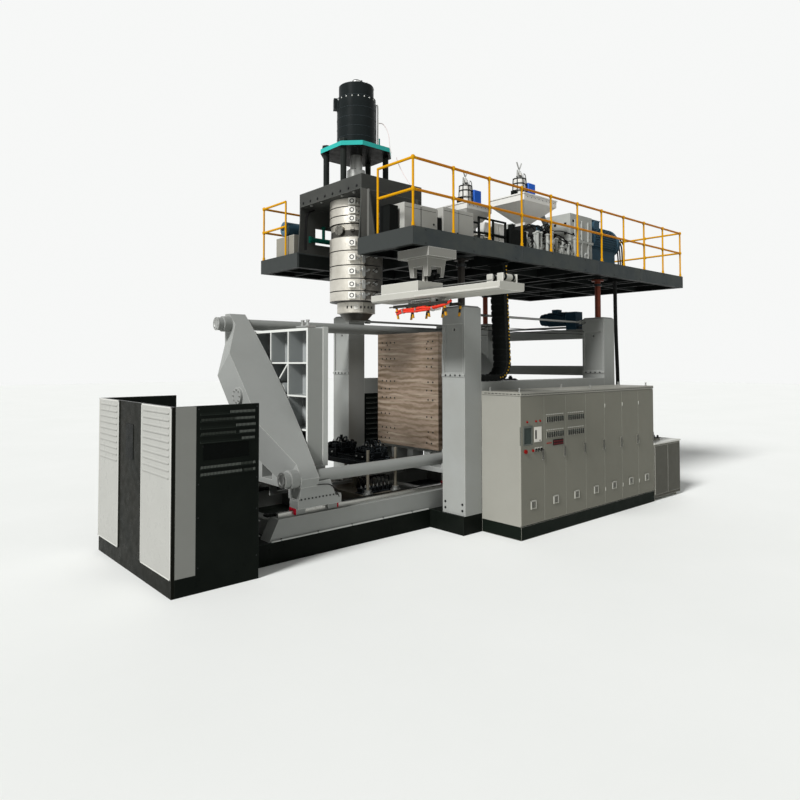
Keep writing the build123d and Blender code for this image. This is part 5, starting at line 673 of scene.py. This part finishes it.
piece("green_oil_pipe", "platform",
    enamel("green_pipe_enamel", "0F4A3E", "0C3A32", rough=0.35, edge="1D6B5A"),
    turned((-0.42, 0.86, 5.02), RIGHT, [(50, 0), (62, 4), (62, 50), (45, 55), (45, 620), (62, 625),
    (62, 680), (50, 684)], 24), turned((-0.1, 0.86, 5.02), UP, [(30, 0), (30, 240), (42, 244), (42, 270)],
    20))
wall_pipes = [carried([(-0.55, y, 4.8), (-0.55, y, 5.1), (-0.5, y + 0.02, 5.45), (-0.35, y + 0.03, 5.56)],
    12, 8) for y in (0.8, 0.76)]
wall_pipes += [carried([(0.3, y, 4.8), (0.3, y, 5.2), (0.2, y - 0.02, 5.45), (0.1, y, 5.565)], 12, 8)
    for y in (-0.8, -0.76)]
piece("portal_wall_hoses", "platform", black_rubber, *wall_pipes)

# -------- accumulator head
# Machined head in ring-shaped sheet heater bands. Each band is drawn together by screws at a seam and
# fed through a white ceramic terminal; beyond the seam the bands are painted darker, as is the right side
# of the lower ring: painted shade on the side turned from the light.
joints = (3.82, 3.99, 4.2, 4.43, 4.68, 4.92, 5.14, 5.28, 5.43, 5.58)
grooves = [("2A2825", "z", z - 0.0085, z + 0.0085) for z in joints[:-1]]
# The first area darkens the bands beyond the seam, the fourth the lower ring's right side: painted shade.
dress(steel("heater_band_steel", "C9C5BB", "9F9A8E", 0.34, metallic=0.7,
    areas=(("6E6B64", "x", -0.172, 0.6, "y", -0.6, 0.1, "z", 3.84, 4.91), ("3F3D38", "z", 4.93, 5.03),
    ("A29E94", "z", 5.03, 5.135), ("8C897F", "z", 3.63, 3.82, "x", -0.1, 0.6), ("4E4C47", "z", 3.4, 3.62),
    *grooves)), "accumulator_head")
ceramic = enamel("white_ceramic", "EFEDE6", "DAD7CE", rough=0.3, coat=0.2)


def around(angles, radius, z):
    """Points on a circle about the head's axis, for an angle or more in degrees; z 0 gives a direction."""
    a = np.radians(angles)
    return np.stack([radius * np.cos(a), radius * np.sin(a), np.full(a.shape, z)], -1)


def spun(shape, axis, angles, centre=(0, 0, 0)):
    """Copies of a shape turned about an axis k, then moved to the centre.

    A point p goes to p cos a + (k x p) sin a + k (k . p) (1 - cos a) for each angle a in degrees.
    """
    points, faces = shape
    k = np.array(axis, float)
    a = np.radians(np.atleast_1d(angles))[:, None, None]
    along = (points @ k)[:, None] * k
    made = points * np.cos(a) + np.cross(k, points) * np.sin(a) + along * (1 - np.cos(a)) + centre
    return made.reshape(-1, 3), [[n * len(points) + i for i in face] for n in range(a.size) for face in faces]


reach, tilt = 0.465, 0.035
spans = list(zip(joints, joints[1:]))
covers, sockets, clamps, leads = [], [], [], []
for low, high in spans[:5] + spans[6:]:
    z, tall = (low + high) / 2, min(0.058, (high - low) / 2 - 0.015)
    covers.append(spun(bars((0.498, 0.534, -0.062, 0.062, z - tall, z + tall), edge=3), UP, 224))
    sockets.append(turned(around(224, 0.531, z), around(224, 1, 0), [(40, 0), (40, 4), (26, 4), (22, 1)],
        20))
    sockets.append(turned(around((231, 251), reach, z), UP, [(8, -30), (10, -26), (10, 26), (8, 30)], 10))
    clamps.append(spun(bars((reach + 0.028, reach + 0.04, -0.03, 0.03, low + 0.03, high - 0.03), edge=3),
        UP, 247))
    clamps += [turned(around(angle, reach, z + tilt * np.sin(angle)), around(angle, 1, 0),
        [(21, -4), (21, 14), (12, 16), (12, 36)], 12) for angle in (236, 241, 254, 259, 272, 279)]
    leads.append(carried([around(266, 0.5, z), around(268, 0.545, z + 0.03), around(274, 0.53, z + 0.07),
        around(282, 0.478, z + 0.06)], 7, 6))
piece("heater_terminal_covers", "platform", ceramic, *covers)
piece("heater_terminal_sockets", "platform", dark_steel, *sockets)
piece("heater_band_clamps", "platform", nut_steel, *clamps)
piece("heater_leads", "platform", black_rubber, *leads)
seams = [spun(bars((r - 0.004, r + 0.0025, -0.004, 0.004, low + 0.012, high - 0.012), edge=1), UP,
    (242, 252)) for (low, high), r in zip(spans, 5 * [reach] + [0.443] + 3 * [reach])]
piece("heater_band_seams", "platform", black_and_shade, *seams)
port_out = around(195, 1, 0)
port_side = np.cross(UP, port_out)
port_at = port_out * 0.48 + (0, 0, 5.03)
piece("neck_port_cover", "platform", steel("port_cover_steel", "6E6C66", "45433E", 0.4),
    turned(port_at, port_out, [(85, -4), (88, 0), (88, 10), (45, 12), (40, 4), (12, 4)], 28),
    turned([port_at + 0.07 * (np.cos(a) * port_side + np.sin(a) * np.array(UP))
    for a in np.arange(6) * np.pi / 3], port_out, [(10, 8), (10, 20)], 6))
piece("lower_ring_port", "platform", ceramic,
    turned(around(232, 0.335, 3.725), around(232, 1, 0), [(40, -4), (43, 0), (43, 12), (22, 14), (18, 6)],
    24))
piece("lower_ring_screws", "platform", dark_steel,
    turned(around((205, 218, 246, 258, 270, 285), 0.335, 3.7), UP, band(10, 12, 44, 4), 10))
piece("die_bolts", "platform", dark_steel, *bolts(around(np.arange(12) * 30 + 10, 0.27, 3.62), DOWN, 14))

# -------- push-out cylinder
# Black hydraulic cylinder on a teal flange that stands on four dark stays. A ring of bright capscrews
# holds the cap; hard pipe, hoses and a small teal bracket run down its side.
teal_enamel = enamel("teal_enamel", "37AAA2", "2F9690", rough=0.33, areas=(("090B0B", "z", 6.4, 6.4345),))
dress(teal_enamel, "cylinder_flange")
dress(shaft_steel, "push_ram")
dress(enamel("stay_black_enamel", "202322", "30332F", rough=0.35, edge="4A4D4A"), "flange_stays")
piece("cylinder_seams", "platform", pressure_black,
    turned(grid(0, 0, (6.7, 6.87, 7.04, 7.21)), UP, band(342.5, 345.5, 10, 2), 64),
    turned((0, 0, 7.42), UP, [(342, -12), (348, -8), (348, 0), (342, 3)], 64))
piece("cylinder_cap_screws", "platform", nut_steel,
    turned(around(np.arange(20) * 18 + 4, 0.342, 7.375), UP, band(10, 13, 26, 4), 10),
    capscrews(around(np.arange(10) * 36, 0.26, 7.65), UP, 16, 18, 8, 10))
piece("cylinder_top_fittings", "platform", chrome,
    turned((0, 0, 7.7), UP, [(80, 0), (84, 4), (84, 70), (60, 75), (60, 90)], 28),
    turned([(0.17, -0.09, 7.735), (-0.05, 0.02, 7.735)], UP, [(22, 0), (22, 20), (12, 24), (12, 50)], 14))
piece("cylinder_top_elbows", "platform", pressure_black,
    carried([(0.12, -0.02, 7.64), (0.12, -0.02, 7.72), (0.17, -0.06, 7.762), (0.25, -0.1, 7.74),
    (0.29, -0.12, 7.66)], 20, 12),
    turned((0.02, -0.12, 7.64), UP, [(30, 0), (30, 60), (20, 65), (20, 120)], 16))
piece("cylinder_hard_pipe", "platform", chrome,
    carried([(0.3, -0.24, 6.52), (0.3, -0.24, 6.9), (0.3, -0.24, 7.3), (0.27, -0.24, 7.36)], 14, 10))
piece("pale_air_hoses", "platform", enamel("pale_air_hose", "E8DEDC", "D8C4C2", rough=0.4),
    carried([(0.33, -0.22, 7.05), (0.4, -0.28, 7.02), (0.46, -0.34, 6.85), (0.48, -0.36, 6.6),
    (0.5, -0.38, 6.505)], 8, 8),
    carried([(0.55, -0.45, 6.43), (0.6, -0.52, 6.2), (0.66, -0.66, 5.95), (0.7, -0.75, 5.83)], 8, 8))
piece("cylinder_teal_bracket", "platform", teal_enamel,
    bars((0.325, 0.375, -0.215, -0.195, 6.51, 6.78), edge=4))
piece("cylinder_foot_bolts", "platform", dark_steel,
    *bolts(around(np.arange(12) * 30 + 15, 0.395, 6.51), UP, 20))
piece("ram_coupling_screws", "push_ram", dark_steel,
    capscrews(around(np.arange(8) * 45, 0.14, 6.16), UP, 13, 14, 7, 8))

# -------- extruders
# Barrels in heater bands with blacked feed housings. The light grey cast gearboxes show dark core holes
# and flange bolts, and the blue motors cast fins, a cowl and light feet.
dress(steel("barrel_band_steel", "C9C5BB", "8C887E", 0.36,
    areas=(("232423", "x", 2.74, 3.16, "y", -0.3, 0.3), ("232423", "x", 3.21, 3.63, "y", -1.3, -0.8))),
    "extruder_barrels")
gearbox_enamel = enamel("gearbox_grey_enamel", "A6A8A3", "8A8C87", rough=0.42, spread=0.45, edge="C5C7C2")
dress(gearbox_enamel, "gearboxes")
drive_blue = enamel("drive_blue_enamel", "2F4654", "3F5C69", rough=0.36, spread=0.5, edge="4E6E80",
    areas=(("8D908D", "z", 4.7, 4.9, "x", 4.8, 7.2),))
dress(drive_blue, "drive_motors")
axis_z = 5.48
fin_turns = np.append(np.arange(28, 153, 9), np.arange(208, 333, 9))
piece("side_motor_fins", "platform", drive_blue,
    spun(bars((5.56, 6.4, -0.004, 0.004, 0.302, 0.338), edge=1), RIGHT, fin_turns, (0, -1.05, axis_z)))
piece("main_motor_fins", "platform", drive_blue,
    spun(bars((4.95, 5.79, -0.004, 0.004, 0.262, 0.298), edge=1), RIGHT, fin_turns, (0, 0, axis_z)))
cowls = [spun(bars((x, x + 0.012, -0.011, 0.011, 0.08, r), edge=1), RIGHT, np.arange(0, 360, 20),
    (0, y, axis_z)) for x, y, r in ((6.678, -1.05, 0.25), (6.068, 0, 0.21))]
bells = [turned((x, y, axis_z), RIGHT, band(r, r + 12, 24, 4), 40)
    for x, y, r in ((5.5, -1.05, 326), (6.45, -1.05, 326), (4.89, 0, 286), (5.84, 0, 286))]
piece("motor_cowl_bars", "platform", black_and_shade, *cowls)
piece("pump_motor_fan_cover", "platform", enamel("pump_fan_cover_blue", "4E6878", "3F5665", rough=0.4,
    edge="7E97A6"),
    turned((-0.55, 1.46, 5.29), LEFT, [(131, -10), (134, 0), (134, 30), (100, 45), (60, 45), (55, 30),
    (20, 30)], 32))
piece("motor_bell_rims", "platform", drive_blue, *bells)
piece("motor_terminal_lids", "platform", drive_blue,
    bars((5.5, 5.98, -1.235, -0.865, 5.912, 5.93), (4.89, 5.37, -0.165, 0.165, 5.872, 5.89)))
holes = boxes((0.07, 0.007, 0.055), (4.63, 4.93, 5.2), -1.391, (4.86, 4.99, 5.13, 5.42, 5.56, 5.7))
holes += boxes((0.0065, 0.06, 0.055), 4.5485, (-1.3, -1.05, -0.82), (4.9, 5.1, 5.44, 5.64))
holes += boxes((0.07, 0.0072, 0.05), (4.08, 4.34, 4.58), -0.3012, (4.88, 5.06, 5.4, 5.56))
# The core holes are black boxes: painted shade inside the holes.
piece("gearbox_core_holes", "platform", black_and_shade, bars(*holes))
piece("gearbox_flange_bolts", "platform", dark_steel,
    *bolts(grid(row(4.6, 5.32, 8), (-1.403, -0.697), 5.345), UP, 14),
    *bolts(grid(row(4.05, 4.71, 7), (-0.313, 0.313), 5.285), UP, 14),
    *bolts(grid(row(4.6, 5.3, 5), -1.412, 4.8), UP, 16))
piece("gearbox_light_covers", "platform", lip_enamel,
    turned((4.549, -1.05, 5.02), LEFT, [(200, -10), (200, 0), (190, 16), (120, 20), (110, 12)], 36),
    turned((5.14, -1.391, 5.02), FRONT, [(90, -10), (90, 12), (80, 18), (50, 18), (45, 10)], 30))

# -------- hoppers and loaders
# Sheet steel hoppers, light grey. On each lid a light vacuum loader stands in black hoops beside a blue
# vessel, with forked bright pipes on top; a sloping duct comes down from the right one.
dress(enamel("hopper_light_enamel", "DCDBD6", "C9C8C2", rough=0.4, edge="E9E8E3",
    areas=(("1D50A8", "x", 2.985, 3.2, "y", -0.2, 0.2, "z", 6.013, 6.4),
    ("1D50A8", "x", 3.42, 3.7, "y", -1.2, -0.9, "z", 6.013, 6.4), ("2A2B2B", "z", 6.155, 6.19))), "hoppers")
loaders = ((2.859, 0), (3.294, -1.05))
hoops = turned([(x, y, z) for x, y in loaders for z in (6.03, 6.3, 6.4)], UP, band(122, 128, 25, 3), 32)
stays = [carried([(x + 0.14 * np.cos(a), y + 0.14 * np.sin(a), 6.012),
    (x + 0.14 * np.cos(a), y + 0.14 * np.sin(a), 6.2), (x + 0.13 * np.cos(a), y + 0.13 * np.sin(a), 6.42)],
    8, 8) for x, y in loaders for a in np.radians((150, 200, 250, 300))]
piece("loader_hoops", "platform", black_and_shade, hoops, *stays,
    bars(*[(x - 0.21, x - 0.12, y - 0.04, y + 0.05, 6.05, 6.16) for x, y in loaders], edge=4))
forks = []
for x, y in loaders:
    forks += [carried([(x, y, 6.52), (x, y, 6.6), (x + s * 0.03, y, 6.66), (x + s * 0.075, y, 6.75)], 14,
        10) for s in (-1, 1)]
    forks += [carried([(x - 0.06, y - 0.03, 6.42), (x - 0.07, y - 0.03, 6.52), (x - 0.11, y - 0.04, 6.57),
        (x - 0.13, y - 0.05, 6.44)], 12, 8),
        carried([(x + 0.05, y - 0.05, 6.42), (x + 0.06, y - 0.06, 6.52), (x + 0.12, y - 0.06, 6.5),
        (x + 0.17, y - 0.05, 6.31)], 11, 8)]
piece("loader_fork_pipes", "platform", nut_steel, *forks,
    turned([(x, y, 6.54) for x, y in loaders], UP, [(30, 0), (36, 4), (36, 30), (20, 34)], 20))
piece("loader_stub_bands", "platform", black_and_shade,
    turned([(x, y, 6.43) for x, y in loaders], UP, [(56, 20), (60, 24), (60, 50), (56, 54)], 24))
piece("sloping_feed_duct", "platform",
    enamel("duct_grey_enamel", "8E9494", "7C8181", rough=0.4, edge="B5B9B8"),
    carried([(3.6, -1.05, 6.22), (3.7, -1.05, 6.2), (3.86, -1.07, 5.98), (4.1, -1.1, 5.62),
    (4.22, -1.12, 5.46)], 55, 16))
piece("duct_straps", "platform", black_and_shade,
    bars((4.16, 4.27, -1.19, -1.05, 5.43, 5.5), (3.66, 3.7, -1.12, -0.98, 6.13, 6.27), edge=4))
piece("loader_blue_vessels", "platform",
    enamel("vessel_blue_enamel", "2C62C4", "2452A8", rough=0.3, edge="6A95E0"),
    bars(*[(x + 0.115, x + 0.345, y - 0.14, y + 0.12, 6.016, 6.345) for x, y in loaders], edge=12))
rims = [(x - s / 2 - 0.006, x + s / 2 + 0.006, y - s * 0.4 - 0.006, y + s * 0.4 + 0.006, 5.985, 6.004)
    for x, y, s in ((2.95, 0, 0.76), (3.42, -1.05, 1.05))]
piece("hopper_rims", "platform", lip_enamel, bars(*rims))
piece("hopper_rivets", "platform", dark_steel,
    turned(grid(row(3.0, 3.84, 8), -1.47, 5.94) + grid(row(2.65, 3.25, 6), -0.304, 5.94), FRONT,
    [(8, 0), (8, 4), (5, 7)], 10))

# -------- deck fittings
# Light grey control boxes with dark shadow gaps; between them and the gearbox stand a black valve frame
# with white panels, black oil boxes and cast feed fittings, all screwed to the deck.
dress(enamel("box_grey_powder_coat", "ABABA5", "9B9B94", rough=0.45, edge="CFCFCA",
    areas=(("8B887E", "x", -0.7, 0.0, "y", 1.1, 1.8),)), "platform_cabinets")
gaps = [(x, x + 0.008, -1.6015, -1.596, z0, z1)
    for x, z0, z1 in ((0.05, 4.8, 5.25), (0.42, 4.8, 5.25), (0.93, 4.8, 5.31))]
gaps += [(x0, x1, -1.6015, -1.596, z, z + 0.006)
    for x0, x1, z in ((-0.28, 0.4, 5.2), (0.58, 1.28, 5.27), (0.58, 1.28, 4.84))]
piece("box_shadow_gaps", "platform", black_and_shade, bars(*gaps, edge=1),
    turned([(0.9, -1.601, 4.93), (0.34, -1.601, 5.0)], FRONT, [(18, 0), (18, 6), (10, 8)], 14))
frame_bars = boxes((0.035, 0.035, 0.54), (1.42, 1.8, 2.14), (-1.62, -1.3), deck)
frame_bars += boxes((0.755, 0.035, 0.03), 1.42, (-1.62, -1.3), (4.79, 5.01, 5.27))
frame_bars += [(1.5, 1.62, -1.56, -1.36, 4.79, 5.0), (2.26, 2.74, -1.64, -1.3, deck, 5.2),
    (2.36, 2.44, -1.6, -1.5, 5.2, 5.3), (-0.52, -0.34, -1.5, -1.25, deck, 5.22),
    (0.44, 0.54, -1.58, -1.34, deck, 5.14), (1.34, 1.41, -1.5, -1.3, deck, 5.16)]
piece("deck_black_frames", "platform", black_and_shade, bars(*frame_bars, edge=4))
panels = [*boxes((0.13, 0.27, 0.19), (1.85, 2.0), -1.6, 4.81),
    *boxes((0.13, 0.27, 0.2), (1.85, 2.0), -1.6, 5.05), (1.64, 1.79, -1.57, -1.4, 5.06, 5.24),
    (1.47, 1.6, -1.57, -1.4, 4.83, 4.98)]
piece("deck_white_panels", "platform", enamel("white_panel_enamel", "D3D3CE", "BFBFB9"),
    bars(*panels, edge=6))
spots = np.random.default_rng(7).uniform((2.84, -1.7, 0.1), (4.44, -1.44, 0.52), (44, 3))
casts = [turned((x, y, deck), UP, [(50, 0), (50, 20), (30, 30), (30, h), (45, h + 5), (45, h + 30),
    (20, h + 40)], 14) for x, y, h in spots * (1, 1, 1000)]
casts += [turned((x, y - 0.02, 4.8 + h * 0.6), FRONT, [(28, -20), (40, 0), (40, 30), (18, 34), (16, 20)],
    14) for x, y, h in spots[::2]]
piece("feed_side_fittings", "platform", gearbox_enamel, *casts)
lines = [carried([(a[0], a[1], 4.85 + a[2]), ((a[0] + b[0]) / 2, a[1] - 0.03, 4.95 + a[2]),
    (b[0], b[1], 4.84 + b[2])], 11, 8) for a, b in zip(spots[::2], spots[1::2])]
piece("feed_side_hoses", "platform", black_rubber, *lines)
piece("motor_end_lines", "platform", black_rubber,
    *[carried([(6.7, -1.3 + 0.06 * i, 5.6), (6.8, -1.34 + 0.06 * i, 5.45), (6.78, -1.36 + 0.05 * i, 5.1),
    (6.74, -1.38 + 0.05 * i, 4.775)], 16, 8) for i in range(4)])

# -------- take-out robot
# Warm white painted bracket, slide beam and gripper carriage with light edges. Black knobs end the guide
# rods, a toothed belt runs to two roller forks, and red air hoses hang in an arc to the gripper.
robot_enamel = enamel("robot_white_enamel", "B3B2AA", "A3A29A", rough=0.36, edge="E4E3DE",
    areas=(("91908A", "z", 4.05, 4.5),))
dress(robot_enamel, "robot_bracket", "robot_beam")
dress(enamel("gripper_enamel", "A09E98", "7C7A75", rough=0.4, edge="CBC9C3",
    areas=(("E6E5E0", "x", -0.35, -0.03, "z", 3.66, 3.76),)), "robot_gripper")
dress(enamel("finger_enamel", "2A2A27", "3B3A35", rough=0.4, edge="565550",
    areas=(("D79A1C", "z", 3.44, 3.5), ("D79A1C", "z", 3.555, 3.6))), "gripper_jaw_left",
    "gripper_jaw_right")
knobs = grid((-0.12, 0.02), (-2.0, -1.68), 4.1)
piece("bracket_knobs", "platform", black_and_shade,
    turned(knobs, UP, [(30, -30), (40, -20), (40, 20), (28, 30)], 20),
    bars((-0.1, 0.0, -1.96, -1.9, 4.02, 4.1), (-0.12, 0.02, -1.8, -1.74, 4.03, 4.12), edge=6))
piece("housing_screws", "platform", dark_steel,
    *bolts(grid((-0.31, 0.31), (-2.14, -1.84, -1.54), 4.495), DOWN, 18))
piece("robot_belt", "robot_beam", black_and_shade,
    bars((-0.2, -0.18, -3.5, -1.02, 3.852, 3.858), (-0.2, -0.18, -3.5, -1.02, 3.838, 3.842), edge=1))
forks = boxes((0.02, 0.1, 0.12), (-0.345, -0.055), (-3.57, -3.39), 3.835)
piece("roller_fork_plates", "robot_beam", robot_enamel, bars(*forks, edge=4))
piece("roller_bands", "robot_beam", black_and_shade,
    turned(grid((-0.3, -0.13), (-3.52, -3.34), 3.91), RIGHT, band(45, 49, 48, 3), 24))
piece("robot_drag_rod", "robot_beam", shaft_steel,
    carried([(-0.43, -3.45, 3.86), (-0.43, -2.2, 3.862), (-0.43, -1.05, 3.86)], 8, 8))
piece("gripper_cylinder", "robot_gripper", ceramic,
    turned((-0.19, -2.26, 3.575), REAR, [(20, 0), (30, 4), (30, 350), (22, 354), (22, 370)], 20))
piece("gripper_valves", "robot_gripper", black_and_shade,
    bars(*[(-0.325, -0.3, y, y + 0.035, 3.6 + 0.01 * (i % 3), 3.65)
    for i, y in enumerate(row(-2.25, -1.78, 9))],
    *boxes((0.03, 0.022, 0.095), -0.3 + 0.06 * np.arange(4), -2.3, 3.605), edge=3))
piece("gripper_fittings", "robot_gripper", nut_steel,
    turned(grid(-0.19, row(-2.22, -1.8, 6), 3.595), DOWN, [(20, -2), (24, 2), (24, 30), (12, 34)], 14))
piece("gripper_manifolds", "robot_gripper", robot_enamel,
    bars((-0.25, -0.13, -2.4, -2.283, 3.6, 3.7), (-0.25, -0.13, -1.717, -1.62, 3.6, 3.7), edge=8))
piece("gripper_side_cylinders", "robot_gripper", chrome,
    turned(grid((-0.33, -0.05), -2.2, 3.705), REAR, [(14, 0), (20, 4), (20, 400), (9, 404), (9, 470)], 18))
paths = [[(-0.33, -1.44, 3.555), (-0.36, -1.62, 3.58), (-0.37, -1.85, 3.575), (-0.36, -2.1, 3.6),
    (-0.32, -2.2, 3.66)], [(-0.34, -1.47, 3.52), (-0.37, -1.66, 3.545), (-0.38, -1.95, 3.54),
    (-0.37, -2.25, 3.56), (-0.34, -2.5, 3.6)],
    [(-0.35, -1.95, 3.6), (-0.38, -2.15, 3.575), (-0.38, -2.35, 3.58), (-0.36, -2.54, 3.61),
    (-0.3, -2.6, 3.665)]]
piece("red_hoses", "robot_gripper", enamel("red_air_hose", "DD3B28", "B92C1E", rough=0.3, coat=0.3),
    *[carried(path, 19, 12) for path in paths])
piece("hose_clips", "robot_gripper", nut_steel,
    turned(grid(-0.365, (-1.66, -1.95, -2.3), 3.56), REAR, band(30, 42, 23, 3), 18))

# -------- energy chain and service hose
# Moulded black links with yellow pin caps on the outer side; the ribbed black hose beyond them feeds the
# low cabinet. Both are fixed lines, clamped at their two ends.
dress(enamel("black_chain_plastic", "121413", "1E201F", rough=0.45, edge="333534"), "energy_chain")
hose_rubber = enamel("ribbed_hose_rubber", "1B1C1C", "2A2B2A", rough=0.55, edge="3A3B3A")
dress(hose_rubber, "service_hose")
run = np.linspace((1.8, 4.44), (1.895, 2.8), 27)
turn = np.radians(np.linspace(-4, -86, 7))
bend = np.stack([1.645 + 0.26 * np.cos(turn), 2.77 + 0.26 * np.sin(turn)], -1)
caps_at = [(x + 0.03, -1.88, z) for x, z in run] + [(x, -1.88, z) for x, z in bend]
fill = [(x - 0.036, x + 0.036, -1.858, -1.592, z - 0.034, z + 0.034) for x, z in run]
fill += boxes((0.062, 0.266, 0.071), np.arange(1.18, 1.64, 0.06), -1.858, 2.474)
piece("chain_cables", "base", black_and_shade, bars(*fill, edge=4),
    spun(bars((0.224, 0.296, -0.133, 0.133, -0.034, 0.034), edge=4), REAR, np.arange(2, 92, 9),
    (1.645, -1.725, 2.77)))
piece("chain_pin_caps", "base", enamel("chain_cap_yellow", "E0B020", "C2961A", rough=0.35),
    turned(caps_at, FRONT, [(12, -2), (12, 4), (7, 6)], 10))
path = np.array([(5.585, -1.8, 4.49), (5.585, -1.8, 3.9), (5.62, -1.795, 3.15), (5.668, -1.795, 2.38),
    (5.64, -1.8, 1.62), (5.64, -1.8, 0.86)])
steps = np.concatenate([np.linspace(a, b, 26, endpoint=False) for a, b in zip(path, path[1:])])
piece("hose_ribs", "base", hose_rubber, turned(steps, UP, [(36, -4), (41, -2), (41, 4), (36, 6)], 14))
